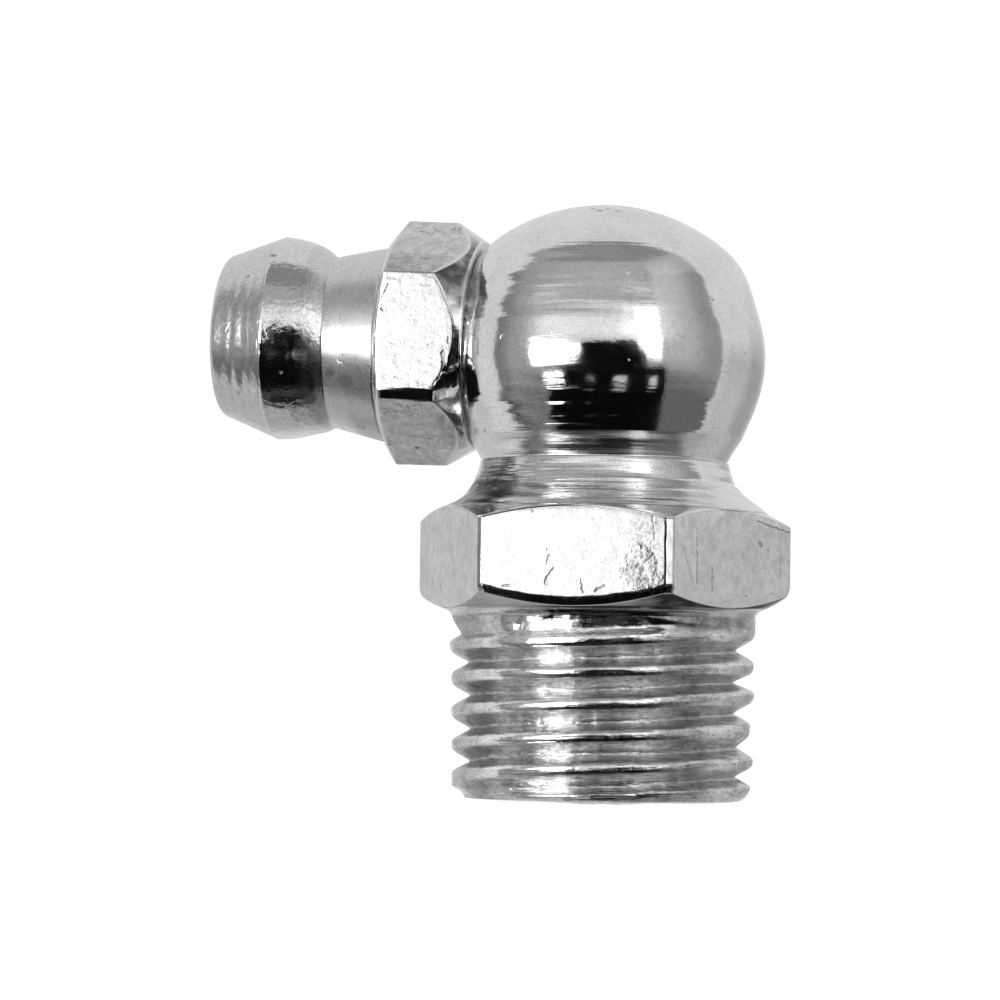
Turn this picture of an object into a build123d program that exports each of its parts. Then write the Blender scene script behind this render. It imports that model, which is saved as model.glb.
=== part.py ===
from build123d import *
import os
from math import cos, sin, tan, radians, sqrt

# 90 degree grease nipple: a turned hexagon body with a ball head, and a
# hexagon-shouldered nipple screwed into a flat on the side of the ball.
#
# Frame: origin at the centre of the thread's free end face, +Z up along the
# thread axis, the side nipple pointing towards -X. Millimetres, degrees.

os.makedirs("parts", exist_ok=True)

# ---------------------------------------------------------------- dimensions
# connecting thread, M10 x 1, as a plain cylinder at its major radius
thread_r = 5.0
thread_chamfer = 0.55
collar_top_z = 6.13          # plain collar above the last thread turn

# hexagon flange, 11 mm nominal across flats, corners turned off
hex_af = 10.88
hex_corner_r = 6.25
hex_low_z = 6.95             # corner height where the lower cone starts
hex_high_z = 9.26            # corner height where the upper cone ends
hex_cone_angle = 28.0        # slope of both cones from the horizontal
under_cone_r = 5.20          # inner end of the lower cone
upper_cone_r = 5.35          # inner end of the upper cone

# concave neck between flange and ball
neck_r = 4.11
neck_z = 11.26
neck_mid = (4.49, 10.45)

# ball head, form turned, a little fuller at its shoulder than a true sphere
ball_belly = (5.306, 14.73)
ball_low_mid = (4.98, 13.11)
ball_side_mid = (5.155, 15.91)
ball_side_top = (4.80, 17.11)
ball_shoulder_mid = (4.64, 17.56)
ball_crown_edge = (4.36, 18.01)
ball_top_z = 19.88
ball_crown_r = 6.02

# drilled passages in the body
bore_r = 1.6
bore_top_z = 15.6
cross_hole_r = 3.0
cross_hole_end_u = 0.35      # flat bottom of the cross hole
drill_point = 59.0           # half of the drill's point angle

# side nipple: distances u run along its axis from the body axis outwards
nipple_z = 15.03             # height where the nipple axis meets the body axis
nipple_rise = 2.5            # the axis rises by this much towards its tip
seat_u = 4.2                 # spot-faced flat on the ball, and nipple shoulder
spot_r = 3.6
shank_r = 2.99
shank_end_u = 0.9
nipple_hex_af = 7.12
nipple_hex_back_r = 3.49
nipple_hex_back_u = 5.27     # long 30 degree cone up to the hexagon's corners
nipple_hex_front_u = 6.80
nipple_hex_face_u = 7.15
nipple_hex_face_r = 3.50
neck_start_r = 3.33
neck_bulge = (8.20, 3.17)
waist = (9.28, 2.84)
head_back = (9.90, 3.22)
head_back_mid = (10.35, 3.345)
head_r = 3.42
head_band_u0 = 10.75
head_band_u1 = 11.20
head_front = (11.50, 3.36)
nose_r = 2.70
nose_u = 12.92
nose_edge = 0.10

# check valve inside the nipple
inlet_r = 0.80
inlet_depth = 0.45
inlet_chamfer = 0.15
chamber_r = 1.40
lip_r = 0.95                 # lip turned in over the spring at the shank end
lip_u = 1.60
ball_r = 1.25
ball_gap = 0.03              # running gap between ball and seat
wire_r = 0.15
spring_mean_r = 0.98
spring_gap = 0.03

# ------------------------------------------------------------ derived points
slope = tan(radians(hex_cone_angle))
under_cone_z = hex_low_z - (hex_corner_r - under_cone_r) * slope
upper_cone_z = hex_high_z + (hex_corner_r - upper_cone_r) * slope

c, s = cos(radians(nipple_rise)), sin(radians(nipple_rise))
along = Vector(-c, 0, s)     # nipple axis, outwards
across = Vector(s, 0, c)     # square to it, upwards
hub = Vector(0, 0, nipple_z)
nipple_axis = Axis(hub, along)
# profile plane: local x is u, local y is the radius
nipple_plane = Plane(origin=hub, x_dir=along, z_dir=(0, 1, 0))


def section(u):
    """Plane square to the nipple axis at distance u, local x pointing up."""
    return Plane(origin=hub + along * u, x_dir=across, z_dir=along)


# ---------------------------------------------------------------- angle body
with BuildPart() as angle_body:
    # one revolved blank: thread, collar, flange, neck and ball
    with BuildSketch(Plane.XZ) as blank:
        with BuildLine():
            Polyline(
                (0, 0),
                (thread_r - thread_chamfer, 0),
                (thread_r, thread_chamfer),
                (thread_r, collar_top_z),
            )
            ThreePointArc(
                (thread_r, collar_top_z),
                (thread_r + 0.055, collar_top_z + 0.135),
                (under_cone_r, under_cone_z),
            )
            Polyline(
                (under_cone_r, under_cone_z),
                (hex_corner_r, hex_low_z),
                (hex_corner_r, hex_high_z),
                (upper_cone_r, upper_cone_z),
            )
            ThreePointArc((upper_cone_r, upper_cone_z), neck_mid, (neck_r, neck_z))
            ThreePointArc((neck_r, neck_z), ball_low_mid, ball_belly)
            ThreePointArc(ball_belly, ball_side_mid, ball_side_top)
            ThreePointArc(ball_side_top, ball_shoulder_mid, ball_crown_edge)
            crown_z0 = ball_top_z - ball_crown_r
            crown_mid_r = 2.3
            ThreePointArc(
                ball_crown_edge,
                (crown_mid_r, crown_z0 + sqrt(ball_crown_r**2 - crown_mid_r**2)),
                (0, ball_top_z),
            )
            Line((0, ball_top_z), (0, 0))
        make_face()
    revolve(axis=Axis.Z)

    # six flats, with one corner on each side of the X axis
    with BuildSketch(Plane.XY.offset(collar_top_z)) as flats:
        Circle(hex_corner_r + 2)
        RegularPolygon(hex_af / 2, 6, major_radius=False, rotation=0, mode=Mode.SUBTRACT)
    extrude(amount=upper_cone_z - collar_top_z + 0.02, mode=Mode.SUBTRACT)

    # spot face for the nipple's shoulder
    with BuildSketch(section(seat_u)) as spot:
        Circle(spot_r)
    extrude(amount=3, mode=Mode.SUBTRACT)

    # cross hole for the nipple's shank
    with BuildSketch(section(cross_hole_end_u)) as cross:
        Circle(cross_hole_r)
    extrude(amount=seat_u - cross_hole_end_u + 0.5, mode=Mode.SUBTRACT)

    # grease bore up the thread axis, with its drill point
    with BuildSketch(Plane.XZ) as bore:
        with BuildLine():
            Polyline(
                (0, -1),
                (bore_r, -1),
                (bore_r, bore_top_z),
                (0, bore_top_z + bore_r / tan(radians(drill_point))),
                close=True,
            )
        make_face()
    revolve(axis=Axis.Z, mode=Mode.SUBTRACT)

    # countersink at the thread's mouth
    mouth = angle_body.edges().filter_by(GeomType.CIRCLE).group_by(Axis.Z)[0].sort_by(
        SortBy.RADIUS
    )[0]
    chamfer(mouth, 0.25)

angle_body.part.label = "angle_body"

# --------------------------------------------------------------- side nipple
seat_cone_u = nose_u - inlet_depth                      # cone starts here
chamber_u = seat_cone_u - (chamber_r - inlet_r)         # 45 degree seat

with BuildPart() as side_nipple:
    with BuildSketch(nipple_plane) as profile:
        with BuildLine():
            Polyline(
                (shank_end_u, lip_r),
                (shank_end_u, shank_r - 0.25),
                (shank_end_u + 0.25, shank_r),
                (seat_u, shank_r),
                (seat_u, nipple_hex_back_r),
                (nipple_hex_back_u, nipple_hex_af / 2 / cos(radians(30))),
                (nipple_hex_front_u, nipple_hex_af / 2 / cos(radians(30))),
                (nipple_hex_face_u, nipple_hex_face_r),
                (nipple_hex_face_u, neck_start_r),
            )
            ThreePointArc((nipple_hex_face_u, neck_start_r), neck_bulge, waist)
            Line(waist, head_back)
            ThreePointArc(head_back, head_back_mid, (head_band_u0, head_r))
            Polyline(
                (head_band_u0, head_r),
                (head_band_u1, head_r),
                head_front,
                (nose_u - nose_edge, nose_r),
                (nose_u, nose_r - nose_edge),
                (nose_u, inlet_r + inlet_chamfer),
                (nose_u - inlet_chamfer, inlet_r),
                (seat_cone_u, inlet_r),
                (chamber_u, chamber_r),
                (lip_u, chamber_r),
                (lip_u, lip_r),
                (shank_end_u, lip_r),
            )
        make_face()
    revolve(axis=nipple_axis)

    # six flats, with one corner on top and one below
    with BuildSketch(section(seat_u - 0.02)) as nipple_flats:
        Circle(5.5)
        RegularPolygon(nipple_hex_af / 2, 6, major_radius=False, rotation=0, mode=Mode.SUBTRACT)
    extrude(amount=nipple_hex_face_u - seat_u + 0.04, mode=Mode.SUBTRACT)

side_nipple.part.label = "side_nipple"

# ---------------------------------------------------------------- check ball
# the ball rests on the 45 degree seat: its centre lies sqrt(2) radii from
# the point where the seat's cone would meet the axis
ball_u = seat_cone_u + inlet_r - (ball_r + ball_gap) * sqrt(2)

with BuildPart() as check_ball:
    with BuildSketch(nipple_plane) as half_disc:
        with BuildLine():
            ThreePointArc((ball_u - ball_r, 0), (ball_u, ball_r), (ball_u + ball_r, 0))
            Line((ball_u + ball_r, 0), (ball_u - ball_r, 0))
        make_face()
    revolve(axis=nipple_axis)

check_ball.part.label = "check_ball"

# -------------------------------------------------------------- check spring
# round wire helix between the turned-in lip and the back of the ball
spring_start_u = lip_u + wire_r + spring_gap
spring_end_u = ball_u - sqrt((ball_r + wire_r + spring_gap) ** 2 - spring_mean_r**2)
spring_turns = 8
spring_pitch = (spring_end_u - spring_start_u) / spring_turns

with BuildPart() as check_spring:
    with BuildLine() as wire_path:
        Helix(
            pitch=spring_pitch,
            height=spring_end_u - spring_start_u,
            radius=spring_mean_r,
            center=hub + along * spring_start_u,
            direction=along,
        )
    with BuildSketch(Plane(origin=wire_path.line @ 0, z_dir=wire_path.line % 0)) as wire_section:
        Circle(wire_r)
    sweep(is_frenet=True)

check_spring.part.label = "check_spring"

# --------------------------------------------------------------------- files
export_step(angle_body.part, "parts/angle_body.step")
export_step(side_nipple.part, "parts/side_nipple.step")
export_step(check_ball.part, "parts/check_ball.step")
export_step(check_spring.part, "parts/check_spring.step")

for piece in (angle_body, side_nipple, check_ball, check_spring):
    box = piece.part.bounding_box()
    print(
        piece.part.label,
        "volume", round(piece.part.volume, 3),
        "from", tuple(round(v, 3) for v in box.min),
        "to", tuple(round(v, 3) for v in box.max),
        "valid", piece.part.is_valid,
    )
print("ball centre u", round(ball_u, 4), "spring", round(spring_start_u, 4), round(spring_end_u, 4))
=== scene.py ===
import math

import bpy
import numpy as np
from mathutils import Matrix, Vector


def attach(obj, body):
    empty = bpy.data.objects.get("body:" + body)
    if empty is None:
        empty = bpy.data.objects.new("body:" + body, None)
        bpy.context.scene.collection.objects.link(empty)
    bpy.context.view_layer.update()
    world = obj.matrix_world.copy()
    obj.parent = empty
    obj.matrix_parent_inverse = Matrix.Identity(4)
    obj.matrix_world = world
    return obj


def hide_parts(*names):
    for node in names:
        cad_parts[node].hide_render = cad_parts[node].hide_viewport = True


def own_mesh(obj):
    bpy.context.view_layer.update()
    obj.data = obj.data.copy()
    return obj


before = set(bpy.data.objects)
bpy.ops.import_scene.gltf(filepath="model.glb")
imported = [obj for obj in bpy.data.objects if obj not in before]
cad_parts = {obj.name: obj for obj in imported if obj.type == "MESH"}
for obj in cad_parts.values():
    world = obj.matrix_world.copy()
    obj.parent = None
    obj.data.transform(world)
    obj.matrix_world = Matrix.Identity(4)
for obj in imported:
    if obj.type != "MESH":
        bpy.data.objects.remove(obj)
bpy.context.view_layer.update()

MM = 0.001
TAU = 2 * math.pi

# =====================================================================
# small numeric helpers
# =====================================================================


def smooth(a, b, x):
    """0 below a, 1 above b, smooth between."""
    t = np.clip((np.asarray(x, float) - a) / (b - a), 0, 1)
    return t * t * (3 - 2 * t)


def noise1(x, seed, period=None):
    """Smooth value noise, -1..1, one lattice cell per unit of x."""
    x = np.asarray(x, float)
    n = 4096 if period is None else int(period)
    g = np.random.RandomState(seed).rand(n) * 2 - 1
    i = np.floor(x).astype(int)
    f = x - i
    f = f * f * (3 - 2 * f)
    return g[i % n] * (1 - f) + g[(i + 1) % n] * f


def noise2(x, y, seed, period=None):
    """Smooth value noise, -1..1, on the unit lattice; x may wrap at period."""
    x, y = np.broadcast_arrays(np.asarray(x, float), np.asarray(y, float))
    n = 512 if period is None else int(period)
    g = np.random.RandomState(seed).rand(n, 512) * 2 - 1
    i, j = np.floor(x).astype(int), np.floor(y).astype(int)
    f, h = x - i, y - j
    f, h = f * f * (3 - 2 * f), h * h * (3 - 2 * h)
    a = g[i % n, j % 512] * (1 - f) + g[(i + 1) % n, j % 512] * f
    b = g[i % n, (j + 1) % 512] * (1 - f) + g[(i + 1) % n, (j + 1) % 512] * f
    return a * (1 - h) + b * h


def fbm2(x, y, seed, octaves=3, period=None):
    total, amp, norm = 0.0, 1.0, 0.0
    for k in range(octaves):
        p = None if period is None else period * 2**k
        total = total + amp * noise2(np.asarray(x) * 2**k, np.asarray(y) * 2**k, seed + k, p)
        norm += amp
        amp *= 0.5
    return total / norm


def spline(xs, ys, x):
    """Natural cubic spline through (xs, ys)."""
    xs, ys = np.asarray(xs, float), np.asarray(ys, float)
    n = len(xs)
    h = np.diff(xs)
    a = np.zeros((n, n))
    b = np.zeros(n)
    a[0, 0] = a[-1, -1] = 1
    for i in range(1, n - 1):
        a[i, i - 1], a[i, i], a[i, i + 1] = h[i - 1], 2 * (h[i - 1] + h[i]), h[i]
        b[i] = 6 * ((ys[i + 1] - ys[i]) / h[i] - (ys[i] - ys[i - 1]) / h[i - 1])
    m = np.linalg.solve(a, b)
    x = np.asarray(x, float)
    k = np.clip(np.searchsorted(xs, x) - 1, 0, n - 2)
    t = x - xs[k]
    return (
        ys[k]
        + t * ((ys[k + 1] - ys[k]) / h[k] - h[k] * (2 * m[k] + m[k + 1]) / 6)
        + t**2 * m[k] / 2
        + t**3 * (m[k + 1] - m[k]) / (6 * h[k])
    )


def spread(count, density):
    """count angles over one turn, closer together where density is high."""
    t = np.linspace(0, TAU, 36001)
    d = density(t)
    c = np.concatenate([[0], np.cumsum((d[1:] + d[:-1]) / 2 * np.diff(t))])
    return np.interp(np.arange(count) / count, c / c[-1], t)


def turn_gap(a, b):
    """Signed smallest turn from b to a, in radians."""
    return (a - b + math.pi) % TAU - math.pi


def hex_radius(theta, flat, chords):
    """Polar radius of a hexagon with corners at 0, 60, ... degrees, each cut back by a small bevel of its own width."""
    k = np.round(theta / (math.pi / 3)).astype(int) % 6
    d = np.abs((theta + math.pi / 6) % (math.pi / 3) - math.pi / 6)  # from the nearest corner
    straight = flat / np.cos(math.pi / 6 - d)
    cut = 2 * flat / math.sqrt(3) - np.asarray(chords, float)[k] / 2 / math.sqrt(3)
    return np.minimum(straight, cut / np.cos(d))


class Lathe:
    """Rows of a body of revolution whose section may vary round the axis."""

    def __init__(self, theta):
        self.theta = theta
        self.r, self.z, self.tags = [], [], []

    def add(self, r, z, **tags):
        one = np.ones_like(self.theta)
        self.r.append(one * r)
        self.z.append(one * z)
        self.tags.append(tags)

    def line(self, a, b, n, first=False, ease=None, **tags):
        for k in range(0 if first else 1, n + 1):
            t = k / n
            if ease:
                t = ease(t)
            self.add(a[0] + (b[0] - a[0]) * t, a[1] + (b[1] - a[1]) * t, **tags)

    def bend(self, a, v, b, n, **tags):
        """A rounded corner at v, from a to b (a itself is already there)."""
        for k in range(1, n + 1):
            t = k / n
            w0, w1, w2 = (1 - t) ** 2, 2 * t * (1 - t), t * t
            self.add(w0 * a[0] + w1 * v[0] + w2 * b[0], w0 * a[1] + w1 * v[1] + w2 * b[1], **tags)


def towards(a, b, d):
    """The point at distance d from a on the way to b; arrays allowed."""
    dx, dy = b[0] - a[0], b[1] - a[1]
    n = np.sqrt(dx * dx + dy * dy)
    return a[0] + dx / n * d, a[1] + dy / n * d


def lathe_mesh(name, lathe, place, pole_start, pole_end, attributes):
    """A closed mesh: rows x angles of quads, a fan at each pole."""
    r, z = np.array(lathe.r), np.array(lathe.z)
    rows, n = r.shape
    pts = place(r, z, lathe.theta[None, :])  # rows, n, 3
    verts = np.concatenate([place(*pole_start)[None], pts.reshape(-1, 3), place(*pole_end)[None]])
    i = np.arange(n)
    j = (i + 1) % n
    quads = []
    for k in range(rows - 1):
        a, b = 1 + k * n, 1 + (k + 1) * n
        quads.append(np.stack([a + i, a + j, b + j, b + i], 1))
    quads = np.concatenate(quads)
    last = 1 + (rows - 1) * n
    end = len(verts) - 1
    tri0 = np.stack([0 * i, 1 + j, 1 + i], 1)
    tri1 = np.stack([0 * i + end, last + i, last + j], 1)
    # outward orientation, by the signed volume of the quads
    v = verts
    q = quads
    vol = np.einsum("ij,ij->i", v[q[:, 0]], np.cross(v[q[:, 1]], v[q[:, 2]])).sum()
    vol += np.einsum("ij,ij->i", v[q[:, 0]], np.cross(v[q[:, 2]], v[q[:, 3]])).sum()
    if vol < 0:
        quads, tri0, tri1 = quads[:, ::-1], tri0[:, ::-1], tri1[:, ::-1]
    me = bpy.data.meshes.new(name)
    counts = np.concatenate([np.full(len(tri0), 3), np.full(len(quads), 4), np.full(len(tri1), 3)])
    loops = np.concatenate([tri0.ravel(), quads.ravel(), tri1.ravel()])
    me.vertices.add(len(verts))
    me.vertices.foreach_set("co", (verts * MM).astype(np.float32).ravel())
    me.loops.add(len(loops))
    me.loops.foreach_set("vertex_index", loops.astype(np.int32))
    me.polygons.add(len(counts))
    me.polygons.foreach_set("loop_start", np.concatenate([[0], np.cumsum(counts)[:-1]]).astype(np.int32))
    me.polygons.foreach_set("use_smooth", np.ones(len(counts), bool))
    me.update(calc_edges=True)
    for key, grid in attributes.items():
        grid = np.asarray(grid, float)
        flat = grid.reshape(-1, grid.shape[-1]) if grid.ndim == 3 else grid.reshape(-1, 1)
        full = np.concatenate([flat[:n].mean(0)[None], flat, flat[-n:].mean(0)[None]])
        if grid.ndim == 3:
            at = me.attributes.new(key, "FLOAT_VECTOR", "POINT")
            at.data.foreach_set("vector", full.astype(np.float32).ravel())
        else:
            at = me.attributes.new(key, "FLOAT", "POINT")
            at.data.foreach_set("value", full.astype(np.float32).ravel())
    me.validate()
    ob = bpy.data.objects.new(name, me)
    bpy.context.scene.collection.objects.link(ob)
    return ob


def arc_length(lathe):
    """Running length down the rows, averaged round the axis, in mm."""
    r, z = np.array(lathe.r), np.array(lathe.z)
    step = np.hypot(np.diff(r, axis=0), np.diff(z, axis=0)).mean(1)
    return np.concatenate([[0], np.cumsum(step)])


# =====================================================================
# dimensions, in mm, as in the part's source
# =====================================================================
RISE = math.radians(2.5)
ALONG = np.array([-math.cos(RISE), 0.0, math.sin(RISE)])
ACROSS = np.array([math.sin(RISE), 0.0, math.cos(RISE)])
FRONT = np.array([0.0, -1.0, 0.0])
HUB = np.array([0.0, 0.0, 15.03])
CONE = math.tan(math.radians(28.0))

# camera: measured from the photograph's perspective
PSI, YAW, PITCH, ROLL = (math.radians(v) for v in (9.981, 11.299, 2.9336, 0.7645))
CAM_D, CAM_H, FOCAL = 150.0, 2.1398 + 0.18, 4521.18


def place_body(r, z, theta):
    r, z, theta = np.broadcast_arrays(np.asarray(r, float), np.asarray(z, float), np.asarray(theta, float))
    return np.stack([r * np.cos(theta), r * np.sin(theta), z], -1)


def place_nipple(r, u, alpha):
    """alpha runs from straight up towards the front."""
    r, u, alpha = np.broadcast_arrays(np.asarray(r, float), np.asarray(u, float), np.asarray(alpha, float))
    return (
        HUB
        + ALONG * u[..., None]
        + ACROSS * (r * np.cos(alpha))[..., None]
        + FRONT * (r * np.sin(alpha))[..., None]
    )


# =====================================================================
# angle body
# =====================================================================
FLAT = 5.44
BEVELS = (0.115, 0.20, 0.20, 0.33, 0.20, 0.27)
PITCH_MM = 1.054


def body_density(t):
    front = 1 + 1.2 * np.exp(-((np.abs(turn_gap(t, math.radians(280))) / math.radians(96)) ** 6))
    corner = np.abs((t + math.pi / 6) % (math.pi / 3) - math.pi / 6)
    return front * (1 + 1.6 * np.exp(-((corner / math.radians(2.4)) ** 2)))


theta = spread(368, body_density)
# how much each angle belongs to the left, right and front/back of the outline
W_L = np.maximum(-np.cos(theta - math.radians(10)), 0) ** 2
W_R = np.maximum(np.cos(theta - math.radians(10)), 0) ** 2
W_F = 1 - W_L - W_R

LOWER_SIDE = ([0, 0.082, 0.164, 0.246, 0.33, 0.426, 0.49, 0.574, 0.74, 0.85, 0.92, 0.967, 1],
              [0, 0.002, 0.012, 0.035, 0.073, 0.138, 0.221, 0.356, 0.644, 0.846, 0.942, 0.99, 1])
UPPER_SIDE = ([0, 0.09, 0.18, 0.27, 0.36, 0.49, 0.72, 0.85, 0.94, 0.98, 1],
              [0, 0.004, 0.017, 0.058, 0.135, 0.298, 0.596, 0.779, 0.913, 0.98, 1])


LOWER_FRONT = ([0, 0.10, 0.17, 0.22, 0.27, 0.32, 0.39, 0.50, 0.66, 0.80, 0.90, 0.96, 1],
               [0, 0.004, 0.014, 0.034, 0.075, 0.135, 0.245, 0.425, 0.685, 0.885, 0.97, 0.994, 1])
UPPER_FRONT = ([0, 0.10, 0.19, 0.26, 0.335, 0.49, 0.70, 0.82, 0.91, 0.97, 1],
               [0, 0.006, 0.022, 0.070, 0.160, 0.385, 0.700, 0.870, 0.965, 0.994, 1])


def soft_curve(pts, t):
    """The listed curve, its corners eased."""
    out = 0.0
    for w, d in ((0.25, -0.02), (0.5, 0.0), (0.25, 0.02)):
        out = out + w * np.interp(t + d, *pts)
    return out


def thread_radius(theta, z):
    """Radius of the right-hand thread at angle theta and height z."""
    turn = theta / TAU
    # the turns wander a little, as rolled threads do
    left = np.interp(z, [0.87, 1.88, 2.97, 4.09, 5.17], [-0.06, -0.10, -0.06, 0.0, 0.03])
    right = np.interp(z, [0.55, 1.41, 2.53, 3.62, 4.58, 5.70], [0.10, -0.03, 0.02, 0.06, -0.035, 0.03])
    front = np.interp(z, [1.19, 4.30, 5.31], [-0.03, -0.08, -0.12])
    cl, cr = np.maximum(-np.cos(theta), 0) ** 2, np.maximum(np.cos(theta), 0) ** 2
    cf = np.maximum(-np.sin(theta), 0) ** 2
    wander = left * cl + right * cr + front * cf
    wander = wander + 0.016 * fbm2(turn * 11, z * 1.1 + 40, 11, 3, 11) + 0.007 * fbm2(turn * 60, z * 1.1 + 90, 12, 2, 60)
    n = (z - wander - 0.399) / PITCH_MM - turn
    k = np.floor(n)
    f = n - k  # 0 on the crest below, 1 on the crest above
    top = smooth(0.25, 0.45, turn) * (k == 4)
    f_r = 0.43 + 0.02 * noise2(turn * 9, k * 2.7, 15, 9) - 0.11 * top
    up, down = np.clip(f / f_r, 0, 1), np.clip((1 - f) / (1 - f_r), 0, 1)
    facing = smooth(0.30, 0.75, -np.sin(theta))
    rise = soft_curve(UPPER_SIDE, up) * (1 - facing) + soft_curve(UPPER_FRONT, up) * facing
    fall = soft_curve(LOWER_SIDE, down) * (1 - facing) + soft_curve(LOWER_FRONT, down) * facing
    drop = np.where(f < f_r, rise, fall)
    # the uppermost groove opens gently towards the flange
    z_root = z + (f_r - f) * PITCH_MM
    shallow = 1.0 - 0.83 * smooth(5.02, 5.19, k + 0.5 + turn) + 0.17 * smooth(5.24, 5.29, k + 0.5 + turn)
    flare = np.clip((6.36 - z) / np.maximum(6.36 - z_root, 0.1), 0, 1)
    curved = 0.9 * (0.45 * flare + 0.55 * flare**2)
    flare = curved + (0.95 * flare - curved) * smooth(0.60, 0.66, turn)
    flare = np.where(f < f_r, drop * 0.90, flare) * shallow
    drop = np.where(k >= 5, 0.0, drop)
    drop = drop * (1 - top) + flare * top
    # it runs out on the right of the front
    gn = k + 0.5 + turn
    drop = drop * (1 - smooth(5.325, 5.36, gn))
    # the first turn starts as a thin fin at the end face
    drop = np.where(k < 0, drop * smooth(0.05, 0.22, gn + 0 * z), drop)
    crest = 4.90 + 0.16 * smooth(0.0, 5.6, z)
    crest = crest + W_L * np.interp(z, [0.95, 2.0, 3.0, 4.1, 5.14], [0.03, 0.02, -0.006, -0.043, 0.006])
    crest = crest + W_R * np.interp(z, [0.6, 1.5, 2.5, 3.6, 4.6, 5.6], [0.065, 0.11, -0.045, 0.04, -0.015, 0.01])
    root = (
        W_L * np.interp(z, [0.9, 1.5, 2.6, 3.6, 4.6, 5.5], [4.35, 4.35, 4.33, 4.32, 4.41, 4.60])
        + W_R * np.interp(z, [0.95, 2.0, 3.0, 4.0, 5.1], [4.42, 4.47, 4.38, 4.33, 4.40])
        + W_F * np.interp(z, [0.9, 3.0, 5.2, 5.7], [4.40, 4.38, 4.42, 4.58])
    )
    root = root + 0.02 * noise2(turn * 13, k * 2.3, 8, 13)
    # burrs and nicks along the crest
    crest = crest + 0.016 * fbm2(turn * 47, k * 5.1 + 3, 21, 3, 47) * (1 - drop) ** 4
    # torn places on the flanks
    tear = np.maximum(fbm2(turn * 38, z * 5.0 + 11, 25, 3, 38) - 0.28, 0) * 0.14
    r = crest - (crest - root) * drop - tear * smooth(0.05, 0.3, drop)
    deg = np.degrees(theta)
    # a small ledge under the flange at the front
    ragged = np.maximum(fbm2(turn * 64, z * 2.6 + 7, 47, 3, 64) - 0.02, 0) * 0.085
    r = r - ragged * smooth(236, 246, deg) * (1 - 0.75 * smooth(264, 272, deg)) * (1 - smooth(290, 300, deg)) * smooth(5.42, 5.55, z)
    brow = 6.03 + 0.012 * noise1(turn * 90, 46, 90)
    r = r - 0.022 * smooth(238, 246, deg) * (1 - smooth(280, 292, deg)) * smooth(brow + 0.02, brow - 0.02, z) * smooth(5.6, 5.8, z)
    # a burr where the last groove stops, trailing down to the right
    line = 6.02 - (deg - 297) / 55 * 0.40
    on = smooth(296, 298, deg) * (1 - smooth(345, 353, deg))
    r = r + on * (0.035 * np.exp(-(((z - line) / 0.045) ** 2)) - 0.030 * smooth(line + 0.02, line - 0.10, z) * smooth(line - 0.42, line - 0.16, z))
    return r, smooth(0.035, 0.16, drop) * (1 - top * facing * smooth(5.35, 5.6, z))


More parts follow.
